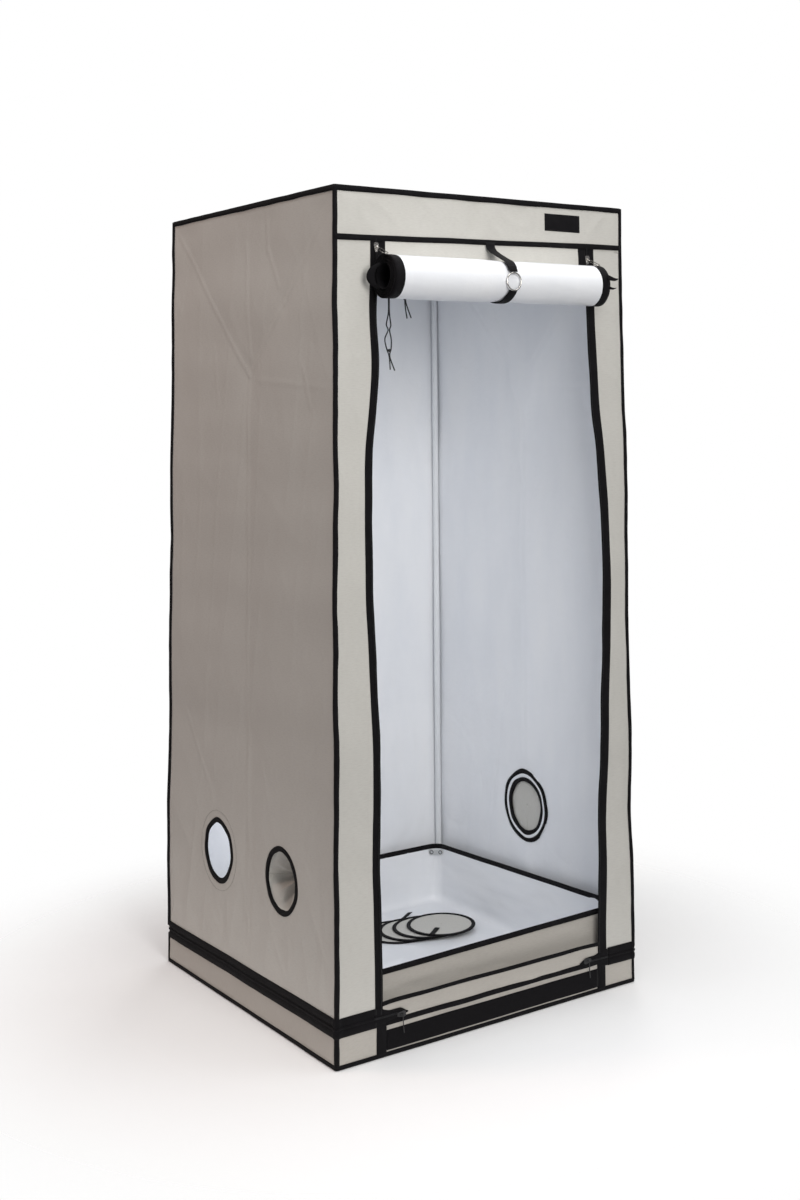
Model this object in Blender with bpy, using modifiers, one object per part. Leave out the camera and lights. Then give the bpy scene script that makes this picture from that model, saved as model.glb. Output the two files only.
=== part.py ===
"""Indoor grow tent with its door rolled up and tied.

A frame of steel tubes and three-way corner pieces carries a fabric cover with taped seams.
The cover's walls zip to a base tub that holds a removable tray, and the door hangs from the header.
Metres, +Z up. The origin is the centre of the base underside, and the door faces -Y.
"""

import math

import bmesh
import bpy
from mathutils import Matrix, Vector

# Whole tent
TENT_WIDTH = 0.800
TENT_DEPTH = 0.800
TENT_HEIGHT = 1.800
GAP = 0.0003
WELD = 0.00003
OVERRUN = 0.010
SHARP_EDGE_DEG = 40

# Fabric and its edge binding
FABRIC = 0.0012
BINDING = 0.0017
CORNER_LEG = 0.006
TOP_LEG = 0.011
BASE_LEG = 0.011
BASE_BINDING_LIFT = 0.0005
HEADER_SEAM_DROP = 0.1095
HEADER_BINDING_HEIGHT = 0.017

# Creases that the folded cover keeps, pressed towards the inside
CREASE_DEPTH = 0.004
CREASE_WIDTH = 0.060
CREASE_APEX_DROP = 0.400
CREASE_EDGE_FADE = 0.080
PORT_FADE = 0.120
WALL_COLUMNS = 14
WALL_ROWS = 26

# Frame of tubes and corner pieces
TUBE_RADIUS = 0.008
TUBE_WALL = 0.001
TUBE_SIDES = 12
BLOCK = 0.022
BLOCK_EDGE = 0.003
SPIGOT_LENGTH = 0.030

# Equipment bars that hook over the top side rails
BAR_HOOK_THICKNESS = 0.0016
BAR_HOOK_WIDTH = 0.010
BAR_HOOK_FROM_DEG = -55
BAR_HOOK_TO_DEG = 205
BAR_HOOK_STEPS = 14
FRONT_BAR_Y = -0.050
REAR_BAR_Y = 0.200

# Base tub, its zip and the front lip
BASE_ZIP_Z = 0.077
BASE_ZIP_BAND = 0.044
BASE_ZIP_THICKNESS = 0.0012
BASE_TEETH_HEIGHT = 0.006
BASE_TEETH_PROUD = 0.0012
LIP_TOP = 0.1165
LIP_BINDING = 0.007
DOORWAY_LEFT = -0.279
DOORWAY_RIGHT = 0.287
POST_BAND = 0.024
DOORWAY_STRIP = 0.005
SILL_LINE_LOW = 0.057
SILL_LINE_HIGH = 0.068
TONGUE_LENGTH = 0.052
TONGUE_HEIGHT = 0.020
HOOK_STRIP_LOW = 0.0145
HOOK_STRIP_HIGH = 0.0525
HOOK_STRIP_THICKNESS = 0.0012
HOOK_STRIP_INSET = 0.0025

# Door opening: the slack edges of the two front posts, as (height share, slack share) from the floor up
DOOR_EDGE_LEFT = -0.306
DOOR_EDGE_RIGHT = 0.312
DOOR_SLACK = 0.020
LEFT_EDGE_SHARES = [
    (0.04, 0.20), (0.07, 0.20), (0.18, 0.00), (0.29, 0.05), (0.40, -0.15), (0.51, -0.60),
    (0.59, -0.76), (0.67, -0.80), (0.77, 0.00), (0.84, -0.10), (0.94, 0.00),
]
RIGHT_EDGE_SHARES = [
    (0.04, -0.05), (0.07, -0.05), (0.12, 0.10), (0.24, 0.55), (0.36, 0.95), (0.48, 1.55),
    (0.61, 1.25), (0.74, 0.30), (0.85, -0.10), (0.94, -0.20),
]
DOOR_TAPE_LEFT = 0.018
DOOR_TAPE_RIGHT = 0.026
DOOR_TAPE_LAP = 0.004
DOOR_TAPE_THICKNESS = 0.001
DOOR_TEETH_WIDTH = 0.004
DOOR_TEETH_PROUD = 0.0012
POST_ROWS = 26
EDGE_STEPS = 12

# Door, rolled up in front of the header with its inner side out
ROLL_RADIUS = 0.048
ROLL_CORE_RADIUS = 0.026
ROLL_PITCH = 0.0033
ROLL_STEPS = 22
ROLL_CLEAR = 0.0015
ROLL_DROP = 0.0855
ROLL_LEFT = -0.308
ROLL_RIGHT = 0.290
SHEET_LEFT = -0.287
SHEET_RIGHT = 0.272
SHEET_ROWS = 4

# Strap and ring that hold the roll up
STRAP_WIDTH = 0.025
STRAP_THICKNESS = 0.0013
STRAP_CLEAR = 0.0004
STRAP_TOP_X = -0.029
STRAP_RING_X = 0.008
STRAP_TAIL_X = -0.012
STRAP_RING_LIFT = 0.0062
STRAP_SLANT_SHARE = 0.55
STRAP_TURN_FROM_DEG = 122
STRAP_RING_AT_DEG = 163
STRAP_HUG_AT_DEG = 186
STRAP_TURN_TO_DEG = 330
STRAP_STEP_DEG = 8
RING_RADIUS = 0.019
RING_WIRE = 0.0015
RING_DROP = 0.004
RING_STEPS = 24
RING_SIDES = 8

# Zip sliders and their wire pullers
SLIDER_WIDTH = 0.013
SLIDER_LENGTH = 0.021
SLIDER_THICKNESS = 0.0022
SLIDER_EDGE = 0.0006
SLIDER_TAPER_SHARE = 0.62
SLIDER_SHOULDER_SHARE = 0.45
SLIDER_TAIL_SHARE = 0.60
SLIDER_NECK_SHARE = 0.70
SLIDER_DROP = 0.0015
BRIDGE_RADIUS = 0.0042
BRIDGE_STOCK = 0.0013
BRIDGE_WIDTH = 0.003
BRIDGE_STEPS = 10
DOOR_SLIDER_LEFT_X = -0.2965
DOOR_SLIDER_RIGHT_X = 0.2900
PULLER_LENGTH = 0.042
PULLER_WIDTH = 0.013
PULLER_WIRE = 0.0009
PULLER_STEPS = 8
BASE_SLIDER_LEFT_X = -0.244
BASE_SLIDER_RIGHT_X = 0.256
PULL_CORD_RADIUS = 0.0012
PULL_CORD_LENGTH = 0.036
PULL_CORD_LEAN = 0.003

# Ports: a bound hole with a bound patch on the inside
PORT_PATCH_RADIUS = 0.088
PORT_RING_RADIUS = 0.0675
PORT_BORE_RADIUS = 0.0575
PORT_RING_PROUD = 0.0015
PORT_PATCH_THICKNESS = 0.0015
PORT_SIDES = 36
PORT_HEIGHT = 0.318
LEFT_REAR_PORT_Y = 0.130
LEFT_FRONT_PORT_Y = -0.169
RIGHT_PORT_Y = 0.005
ROOF_PORT_X = -0.128
ROOF_PORT_Y = -0.220
ROOF_RING_RADIUS = 0.080
ROOF_BORE_RADIUS = 0.070
ROOF_PATCH_RADIUS = 0.1005

# Sleeves gathered by a drawstring, as (radius share of the bore, share of the sleeve's length, fold share)
SIDE_SLEEVE_LENGTH = 0.070
SIDE_SLEEVE_SHARES = [(0.97, 0.10, 0.02), (0.90, 0.35, 0.05), (0.60, 0.70, 0.10), (0.20, 1.00, 0.12)]
ROOF_SLEEVE_LENGTH = 0.145
ROOF_SLEEVE_SHARES = [
    (0.98, 0.12, 0.01), (0.92, 0.35, 0.04), (0.70, 0.60, 0.08), (0.34, 0.78, 0.10),
    (0.15, 0.86, 0.04), (0.20, 1.00, 0.06),
]
SLEEVE_FOLDS = 9
SLEEVE_WALL = 0.0012

# Drawstrings of the roof sleeve, each a doubled cord tied in a knot. Points are (x, y, z) by hand,
# from the centre of the tent's top.
CORD_RADIUS = 0.0015
KNOT_RADIUS = 0.0042
LONG_CORD_A = [
    (-0.1407, -0.2184, -0.131), (-0.1423, -0.2184, -0.140), (-0.1448, -0.2184, -0.151),
    (-0.1502, -0.2184, -0.180), (-0.1500, -0.2184, -0.220), (-0.1503, -0.2184, -0.256),
    (-0.1560, -0.2184, -0.283), (-0.1512, -0.2184, -0.296), (-0.1604, -0.2186, -0.316),
    (-0.1560, -0.2190, -0.338), (-0.1492, -0.2190, -0.356), (-0.1462, -0.2186, -0.386),
]
LONG_CORD_B = [
    (-0.1407, -0.2216, -0.131), (-0.1423, -0.2216, -0.140), (-0.1448, -0.2216, -0.151),
    (-0.1502, -0.2216, -0.180), (-0.1500, -0.2216, -0.220), (-0.1498, -0.2216, -0.256),
    (-0.1460, -0.2216, -0.284), (-0.1494, -0.2216, -0.296), (-0.1448, -0.2214, -0.318),
    (-0.1452, -0.2212, -0.338), (-0.1488, -0.2210, -0.356), (-0.1362, -0.2214, -0.388),
]
LONG_KNOT_SHARE = 0.845
SHORT_CORD_A = [
    (-0.1133, -0.2184, -0.131), (-0.1114, -0.2184, -0.140), (-0.1085, -0.2184, -0.151),
    (-0.1052, -0.2186, -0.190), (-0.1060, -0.2190, -0.222), (-0.1040, -0.2186, -0.244),
    (-0.0996, -0.2184, -0.268),
]
SHORT_CORD_B = [
    (-0.1133, -0.2216, -0.131), (-0.1114, -0.2216, -0.140), (-0.1085, -0.2216, -0.151),
    (-0.1052, -0.2214, -0.190), (-0.1060, -0.2210, -0.222), (-0.1000, -0.2214, -0.244),
    (-0.0904, -0.2216, -0.267),
]
SHORT_KNOT_SHARE = 0.655
CORD_STEPS = 2
KNOT_SEGMENTS = 8

# Tray that stands inside the base frame
TRAY_CLEAR = 0.002
TRAY_RIM = 0.158
TRAY_RIM_RISE = 0.014
TRAY_RIM_LEVEL_SHARE = 0.5
TRAY_FABRIC = 0.0014
TRAY_CORNER_RADIUS = 0.030
TRAY_FOOT_RADIUS = 0.014
TRAY_CORNER_STEPS = 5
TRAY_SIDE_STEPS = 6
RIM_BINDING_HEIGHT = 0.010
RIM_BINDING_FABRIC = 0.001
CLIP_LENGTH = 0.040
CLIP_HEIGHT = 0.013
CLIP_THICKNESS = 0.0022
CLIP_HOLE_RADIUS = 0.0035
CLIP_HOLE_SIDES = 12
CLIP_HOLE_SPACING = 0.024
CLIP_DROP = 0.018

# Port covers. Those stacked on the tray floor have a turn each, from the lowest up.
COVER_RADIUS = 0.0875
COVER_WEB = 0.0014
COVER_RIM = 0.0026
COVER_RIM_WIDTH = 0.004
COVER_SIDES = 32
COVER_TAB_LENGTH = 0.034
COVER_TAB_WIDTH = 0.011
COVER_TAB_THICKNESS = 0.0010
COVER_TAB_OVERLAP = 0.002
STACK_FROM_RIGHT = 0.2305
STACK_FROM_REAR = 0.1605
STACK_STEP_X = 0.034
STACK_STEP_Y = -0.014
COVER_TURNS_DEG = [125, 200, 160, -105]
FITTED_COVER_TURN_DEG = 0

SHADES = {
    "beige_fabric": ((0.58, 0.56, 0.52), 0.90, 0.0),
    "white_fabric": ((0.82, 0.83, 0.85), 0.35, 0.0),
    "black_binding": ((0.015, 0.014, 0.015), 0.85, 0.0),
    "black_plastic": ((0.020, 0.020, 0.022), 0.50, 0.0),
    "white_steel": ((0.78, 0.80, 0.82), 0.35, 0.0),
    "nickel": ((0.72, 0.70, 0.67), 0.25, 1.0),
    "black_cord": ((0.012, 0.012, 0.013), 0.80, 0.0),
}

CLOTH_X = TENT_WIDTH / 2 - BINDING - GAP
CLOTH_Y = TENT_DEPTH / 2 - BINDING - GAP
CLOTH_Z = TENT_HEIGHT - BINDING - GAP
TUBE_X = CLOTH_X - FABRIC - GAP - BLOCK / 2
TUBE_Y = CLOTH_Y - FABRIC - GAP - BLOCK / 2
TUBE_TOP_Z = CLOTH_Z - FABRIC - GAP - BLOCK / 2
TUBE_BASE_Z = FABRIC + GAP + BLOCK / 2
BAND_LOW = BASE_ZIP_Z - BASE_ZIP_BAND / 2
BAND_HIGH = BASE_ZIP_Z + BASE_ZIP_BAND / 2
HEADER_SEAM_Z = TENT_HEIGHT - HEADER_SEAM_DROP
HEADER_LOW = HEADER_SEAM_Z - HEADER_BINDING_HEIGHT / 2
HEADER_HIGH = HEADER_SEAM_Z + HEADER_BINDING_HEIGHT / 2
TAPE_BACK = CLOTH_Y + GAP
TAPE_FRONT = TAPE_BACK + DOOR_TAPE_THICKNESS
TEETH_FRONT = TAPE_FRONT + DOOR_TEETH_PROUD
ROLL_Y = -(TEETH_FRONT + ROLL_CLEAR + ROLL_RADIUS)
ROLL_Z = HEADER_SEAM_Z - ROLL_DROP
TRAY_FLOOR = FABRIC + GAP
TRAY_WIDTH = 2 * (TUBE_X - TUBE_RADIUS - TRAY_CLEAR)
TRAY_DEPTH = 2 * (TUBE_Y - TUBE_RADIUS - TRAY_CLEAR)


def clear_scene():
    for obj in list(bpy.data.objects):
        bpy.data.objects.remove(obj, do_unlink=True)


def new_collection(name):
    collection = bpy.data.collections.new(name)
    bpy.context.scene.collection.children.link(collection)
    return collection


def make_material(name, colour, roughness, metallic):
    made = bpy.data.materials.new(name)
    made.use_nodes = True
    shader = made.node_tree.nodes["Principled BSDF"]
    shader.inputs["Base Color"].default_value = (*colour, 1)
    shader.inputs["Roughness"].default_value = roughness
    shader.inputs["Metallic"].default_value = metallic
    return made


clear_scene()
PARTS = new_collection("Indoor grow tent")
CUTTERS = new_collection("Cutters")
CUTTERS.hide_render = True
MATERIALS = {name: make_material(name, *shade) for name, shade in SHADES.items()}


def add_object(name, data, shade=None):
    """A part when it has a shade, and otherwise a helper for a Boolean."""
    obj = bpy.data.objects.new(name, data)
    if shade is None:
        CUTTERS.objects.link(obj)
        obj.hide_render = True
        obj.display_type = "WIRE"
    else:
        PARTS.objects.link(obj)
        data.materials.append(MATERIALS[shade])
    return obj


def mesh_object(name, bm, shade=None, smooth=False):
    bmesh.ops.recalc_face_normals(bm, faces=bm.faces)
    mesh = bpy.data.meshes.new(name)
    bm.to_mesh(mesh)
    bm.free()
    if smooth:
        mesh.shade_smooth()
        mesh.set_sharp_from_angle(angle=math.radians(SHARP_EDGE_DEG))
    return add_object(name, mesh, shade)


def box(name, low, high, shade=None):
    """A box between two corners."""
    low, high = Vector(low), Vector(high)
    bm = bmesh.new()
    bmesh.ops.create_cube(bm, size=1)
    size = high - low
    bmesh.ops.scale(bm, vec=size, verts=bm.verts)
    bmesh.ops.translate(bm, vec=(low + high) / 2, verts=bm.verts)
    return mesh_object(name, bm, shade)


def cylinder(name, start, end, radius, sides, shade=None):
    start, end = Vector(start), Vector(end)
    along = end - start
    bm = bmesh.new()
    bmesh.ops.create_cone(
        bm, cap_ends=True, segments=sides, radius1=radius, radius2=radius, depth=along.length
    )
    turn = Vector((0, 0, 1)).rotation_difference(along).to_matrix().to_4x4()
    bmesh.ops.transform(bm, matrix=Matrix.Translation((start + end) / 2) @ turn, verts=bm.verts)
    return mesh_object(name, bm, shade, smooth=True)


def boolean(target, other, operation):
    modifier = target.modifiers.new(operation.title(), "BOOLEAN")
    modifier.operation = operation
    modifier.solver = "EXACT"
    modifier.object = other


def cut(target, *others):
    for other in others:
        boolean(target, other, "DIFFERENCE")


def join(target, *others):
    for other in others:
        boolean(target, other, "UNION")


def turned(name, profile, steps, shade=None, closed=True):
    """A profile of (radius, height) turned about Z. It runs down its outer side."""
    mesh = bpy.data.meshes.new(name)
    points = [(radius, 0, height) for radius, height in profile]
    edges = [(i, i + 1) for i in range(len(points) - 1)]
    if closed:
        edges.append((len(points) - 1, 0))
    mesh.from_pydata(points, edges, [])
    obj = add_object(name, mesh, shade)
    screw = obj.modifiers.new("Turn", "SCREW")
    screw.axis = "Z"
    screw.steps = steps
    screw.render_steps = steps
    screw.use_smooth_shade = False
    screw.use_merge_vertices = not closed
    screw.merge_threshold = WELD
    return obj


def aim(obj, location, direction):
    """Puts an object's local Z along a direction."""
    obj.location = location
    obj.rotation_mode = "QUATERNION"
    obj.rotation_quaternion = Vector((0, 0, 1)).rotation_difference(Vector(direction))
    return obj


def tube(name, start, end, shade):
    """A hollow steel tube with open ends."""
    start, end = Vector(start), Vector(end)
    length = (end - start).length
    inner = TUBE_RADIUS - TUBE_WALL
    profile = [(TUBE_RADIUS, length), (TUBE_RADIUS, 0), (inner, 0), (inner, length)]
    return aim(turned(name, profile, TUBE_SIDES, shade), start, end - start)


def loft(name, rings, shade=None, ends="caps", mirrored_from=None):
    """Skins a list of rings of points. Its ends are capped, or the last ring joins the first.

    A thin folded wall is skinned in triangles. From the column mirrored_from on, where the wall's
    inside runs back, they lean the other way, so that its two sides have the same facets.
    """
    bm = bmesh.new()
    rows = [[bm.verts.new(point) for point in ring] for ring in rings]
    count = len(rows[0])
    pairs = list(zip(rows, rows[1:]))
    if ends == "joined":
        pairs.append((rows[-1], rows[0]))
    for low, high in pairs:
        for i in range(count):
            j = (i + 1) % count
            corners = [low[i], low[j], high[j], high[i]]
            if mirrored_from is None:
                bm.faces.new(corners)
                continue
            if i >= mirrored_from:
                corners = corners[1:] + corners[:1]
            bm.faces.new(corners[:3])
            bm.faces.new((corners[0], corners[2], corners[3]))
    if ends == "caps":
        bm.faces.new(rows[0])
        bm.faces.new(rows[-1])
    return mesh_object(name, bm, shade, smooth=True)


def outline_solid(name, points, thickness, shade=None):
    """A flat outline in local XY, filled and given a thickness about Z = 0."""
    curve = bpy.data.curves.new(name, "CURVE")
    curve.dimensions = "2D"
    curve.fill_mode = "BOTH"
    curve.extrude = thickness / 2
    spline = curve.splines.new("POLY")
    spline.points.add(len(points) - 1)
    for place, (x, y) in zip(spline.points, points):
        place.co = (x, y, 0, 1)
    spline.use_cyclic_u = True
    return welded_copy(name, curve, shade)


def welded_copy(name, curve, shade):
    """A curve made into a closed mesh, so that a Boolean can use it."""
    shape = bpy.data.objects.new(name, curve)
    PARTS.objects.link(shape)
    graph = bpy.context.evaluated_depsgraph_get()
    mesh = bpy.data.meshes.new_from_object(shape.evaluated_get(graph))
    bpy.data.objects.remove(shape, do_unlink=True)
    bpy.data.curves.remove(curve)
    bm = bmesh.new()
    bm.from_mesh(mesh)
    bpy.data.meshes.remove(mesh)
    bmesh.ops.remove_doubles(bm, verts=bm.verts, dist=WELD)
    return mesh_object(name, bm, shade)


def wire_curve(name, points, radius, cyclic=False):
    curve = bpy.data.curves.new(name, "CURVE")
    curve.dimensions = "3D"
    curve.bevel_depth = radius
    curve.bevel_resolution = 1
    curve.use_fill_caps = not cyclic
    spline = curve.splines.new("POLY")
    spline.points.add(len(points) - 1)
    for place, point in zip(spline.points, points):
        place.co = (*point, 1)
    spline.use_cyclic_u = cyclic
    return curve


def smooth_through(points, steps):
    """Points on a Catmull-Rom curve through the given ones."""
    points = [Vector(p) for p in points]
    ends = [2 * points[0] - points[1], *points, 2 * points[-1] - points[-2]]
    made = []
    for i in range(1, len(ends) - 2):
        a, b, c, d = ends[i - 1 : i + 3]
        for k in range(steps):
            t = k / steps
            bend = (2 * a - 5 * b + 4 * c - d) * t**2 + (3 * b - a - 3 * c + d) * t**3
            made.append((2 * b + (c - a) * t + bend) / 2)
    return [*made, points[-1]]


def slack_at(shares, height_share):
    """The slack share at a height share, on a smooth curve through the listed ones."""
    curve = smooth_through([(*pair, 0) for pair in shares], EDGE_STEPS)
    for low, high in zip(curve, curve[1:]):
        if low.x < height_share <= high.x:
            return low.y + (high.y - low.y) * (height_share - low.x) / (high.x - low.x)
    return curve[0].y if height_share <= curve[0].x else curve[-1].y


def left_edge(z):
    return DOOR_EDGE_LEFT + DOOR_SLACK * slack_at(LEFT_EDGE_SHARES, z / TENT_HEIGHT)


def right_edge(z):
    return DOOR_EDGE_RIGHT + DOOR_SLACK * slack_at(RIGHT_EDGE_SHARES, z / TENT_HEIGHT)


# Frame


def corner_piece(name, x_side, y_side, is_top):
    """A moulded block with a spigot for each of the three tubes that meet in it."""
    centre = Vector((x_side * TUBE_X, y_side * TUBE_Y, TUBE_TOP_Z if is_top else TUBE_BASE_Z))
    half = Vector((BLOCK, BLOCK, BLOCK)) / 2
    piece = box(name, centre - half, centre + half, "black_plastic")
    bevel = piece.modifiers.new("Rounded edges", "BEVEL")
    bevel.width = BLOCK_EDGE
    bevel.segments = 1
    reach = BLOCK / 2 + SPIGOT_LENGTH
    radius = TUBE_RADIUS - TUBE_WALL - GAP
    upright = Vector((0, 0, -1 if is_top else 1))
    for number, direction in enumerate((Vector((-x_side, 0, 0)), Vector((0, -y_side, 0)), upright)):
        spigot = cylinder(f"{name}_spigot_{number}", centre, centre + reach * direction, radius, TUBE_SIDES)
        join(piece, spigot)


def build_frame():
    start = BLOCK / 2 + GAP
    for y_name, y_side in (("front", -1), ("rear", 1)):
        for x_name, x_side in (("left", -1), ("right", 1)):
            x, y = x_side * TUBE_X, y_side * TUBE_Y
            foot, head = (x, y, TUBE_BASE_Z + start), (x, y, TUBE_TOP_Z - start)
            tube(f"corner_pole_{y_name}_{x_name}", foot, head, "white_steel")
            corner_piece(f"top_corner_{y_name}_{x_name}", x_side, y_side, True)
            corner_piece(f"base_corner_{y_name}_{x_name}", x_side, y_side, False)
    for level, z in (("top", TUBE_TOP_Z), ("base", TUBE_BASE_Z)):
        for name, side in (("front", -1), ("rear", 1)):
            y = side * TUBE_Y
            tube(f"{level}_rail_{name}", (start - TUBE_X, y, z), (TUBE_X - start, y, z), "white_steel")
        for name, side in (("left", -1), ("right", 1)):
            x = side * TUBE_X
            tube(f"{level}_rail_{name}", (x, start - TUBE_Y, z), (x, TUBE_Y - start, z), "white_steel")


def bar_hook(name, x_side, bar_y):
    """The steel strip at a bar's end that hooks over the side rail."""
    inner = TUBE_RADIUS + GAP
    outer = inner + BAR_HOOK_THICKNESS
    span = BAR_HOOK_TO_DEG - BAR_HOOK_FROM_DEG
    angles = [math.radians(BAR_HOOK_FROM_DEG + span * i / BAR_HOOK_STEPS) for i in range(BAR_HOOK_STEPS + 1)]
    arc = [(outer * math.cos(a), outer * math.sin(a)) for a in angles]
    arc += [(inner * math.cos(a), inner * math.sin(a)) for a in reversed(angles)]
    points = [(-x_side * x, z) for x, z in arc]
    hook = outline_solid(name, points, BAR_HOOK_WIDTH)
    hook.location = (x_side * TUBE_X, bar_y, TUBE_TOP_Z)
    hook.rotation_euler = (math.pi / 2, 0, 0)
    return hook


def equipment_bar(name, bar_y):
    """A cross bar whose ends are coped to the hooks that carry it."""
    bar = tube(name, (-TUBE_X, bar_y, TUBE_TOP_Z), (TUBE_X, bar_y, TUBE_TOP_Z), "white_steel")
    cope = TUBE_RADIUS + GAP + BAR_HOOK_THICKNESS / 2
    for side, x in (("left", -TUBE_X), ("right", TUBE_X)):
        start, end = (x, bar_y - 2 * BLOCK, TUBE_TOP_Z), (x, bar_y + 2 * BLOCK, TUBE_TOP_Z)
        cut(bar, cylinder(f"{name}_cope_{side}", start, end, cope, 2 * TUBE_SIDES))
    join(bar, bar_hook(f"{name}_hook_left", -1, bar_y), bar_hook(f"{name}_hook_right", 1, bar_y))


# Cover


def crease_depth(across, height, width, top):
    """How far a point of a wall is pressed in by its folding creases.

    Two creases run from the top corners down to an apex, and one runs down the middle from there.
    They fade out a grid cell before the edges, clear of the frame behind them.
    """
    apex = top - CREASE_APEX_DROP
    half = width / 2
    if height > apex:
        slope = half / CREASE_APEX_DROP
        distance = abs(abs(across) - (height - apex) * slope) / math.hypot(1, slope)
    else:
        distance = abs(across)
    column, row = width / WALL_COLUMNS, (top - BASE_ZIP_Z) / WALL_ROWS
    edge = max(0, min(half - abs(across) - column, top - height - row, height - BAND_HIGH - row))
    return CREASE_DEPTH * max(0, 1 - distance / CREASE_WIDTH) * min(1, edge / CREASE_EDGE_FADE)


def wall(name, side, faces_x, holes=()):
    """A side or rear wall. It lies outside the frame, with its creases pressed inwards."""
    shade = "beige_fabric"
    low, high = BASE_ZIP_Z + GAP / 2, CLOTH_Z - FABRIC - GAP
    width = 2 * (CLOTH_Y - FABRIC - GAP) if faces_x else 2 * CLOTH_X
    plane = CLOTH_X if faces_x else CLOTH_Y
    bm = bmesh.new()
    bmesh.ops.create_grid(bm, x_segments=WALL_COLUMNS, y_segments=WALL_ROWS, size=1)
    for vert in bm.verts:
        across, height = vert.co.x * width / 2, low + (vert.co.y + 1) / 2 * (high - low)
        depth = crease_depth(across, height, width, high)
        for hole_y, hole_z in holes:
            apart = math.hypot(across - hole_y, height - hole_z) - PORT_PATCH_RADIUS
            depth *= max(0, min(1, apart / PORT_FADE))
        inset = side * (plane - depth)
        vert.co = (inset, across, height) if faces_x else (across, inset, height)
    panel = mesh_object(name, bm, shade)
    solidify(panel, FABRIC, Vector((side, 0, 0) if faces_x else (0, side, 0)))
    for number, (hole_y, hole_z) in enumerate(holes):
        start = (side * (plane - OVERRUN), hole_y, hole_z)
        end = (side * (plane + OVERRUN), hole_y, hole_z)
        cut(panel, port_hole(f"{name}_hole_{number}", start, end, PORT_RING_RADIUS))
    return panel


def port_hole(name, start, end, ring_radius):
    """The hole for a port's ring. Its flat sides stay clear of the ring."""
    return cylinder(name, start, end, (ring_radius + GAP) / math.cos(math.pi / PORT_SIDES), PORT_SIDES)


def solidify(panel, thickness, outward):
    """Thickens an open sheet away from its outward side, which keeps its place."""
    mesh = panel.data
    if mesh.polygons[0].normal.dot(outward) < 0:
        mesh.flip_normals()
    modifier = panel.modifiers.new("Thickness", "SOLIDIFY")
    modifier.thickness = thickness
    modifier.offset = -1
    modifier.use_even_offset = False


def front_post(name, outer_x, edge):
    """A front post, whose inner edge follows the slack of the door opening."""
    low, high = BASE_ZIP_Z + GAP / 2, HEADER_SEAM_Z - GAP / 2
    bm = bmesh.new()
    bmesh.ops.create_grid(bm, x_segments=2, y_segments=POST_ROWS, size=1)
    for vert in bm.verts:
        height = low + (vert.co.y + 1) / 2 * (high - low)
        share = (vert.co.x + 1) / 2
        vert.co = (outer_x + (edge(height) - outer_x) * share, -CLOTH_Y, height)
    panel = mesh_object(name, bm, "beige_fabric")
    solidify(panel, FABRIC, Vector((0, -1, 0)))


def build_cover():
    left_holes = [(LEFT_REAR_PORT_Y, PORT_HEIGHT), (LEFT_FRONT_PORT_Y, PORT_HEIGHT)]
    wall("cover_left_wall", -1, True, left_holes)
    wall("cover_right_wall", 1, True, [(RIGHT_PORT_Y, PORT_HEIGHT)])
    wall("cover_rear_wall", 1, False)
    low = (-CLOTH_X, -CLOTH_Y, CLOTH_Z - FABRIC)
    roof = box("cover_roof", low, (CLOTH_X, CLOTH_Y, CLOTH_Z), "beige_fabric")
    top, bottom = CLOTH_Z + OVERRUN, CLOTH_Z - OVERRUN
    start, end = (ROOF_PORT_X, ROOF_PORT_Y, bottom), (ROOF_PORT_X, ROOF_PORT_Y, top)
    cut(roof, port_hole("cover_roof_hole", start, end, ROOF_RING_RADIUS))
    low = (-CLOTH_X, -CLOTH_Y, HEADER_SEAM_Z + GAP / 2)
    box("cover_header", low, (CLOTH_X, FABRIC - CLOTH_Y, CLOTH_Z - FABRIC - GAP), "beige_fabric")
    front_post("cover_left_post", -CLOTH_X, left_edge)
    front_post("cover_right_post", CLOTH_X, right_edge)


def build_base_tub():
    """The floor with its low walls. The front wall rises to a lip across the doorway."""
    tub = box("base_tub", (-CLOTH_X, -CLOTH_Y, 0), (CLOTH_X, CLOTH_Y, LIP_TOP), "beige_fabric")
    x, y = CLOTH_X - FABRIC, CLOTH_Y - FABRIC
    far_x, far_y, far_z = CLOTH_X + OVERRUN, CLOTH_Y + OVERRUN, LIP_TOP + OVERRUN
    side_top = BASE_ZIP_Z - GAP / 2
    cut(
        tub,
        box("tub_inside", (-x, -y, FABRIC), (x, y, far_z)),
        box("tub_above_sides", (-far_x, FABRIC + GAP - CLOTH_Y, side_top), (far_x, far_y, far_z)),
        box("tub_above_left", (-far_x, -far_y, side_top), (DOORWAY_LEFT + GAP, 0, far_z)),
        box("tub_above_right", (DOORWAY_RIGHT - GAP, -far_y, side_top), (far_x, 0, far_z)),
    )


# Bindings, zips and the hook strip


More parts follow.
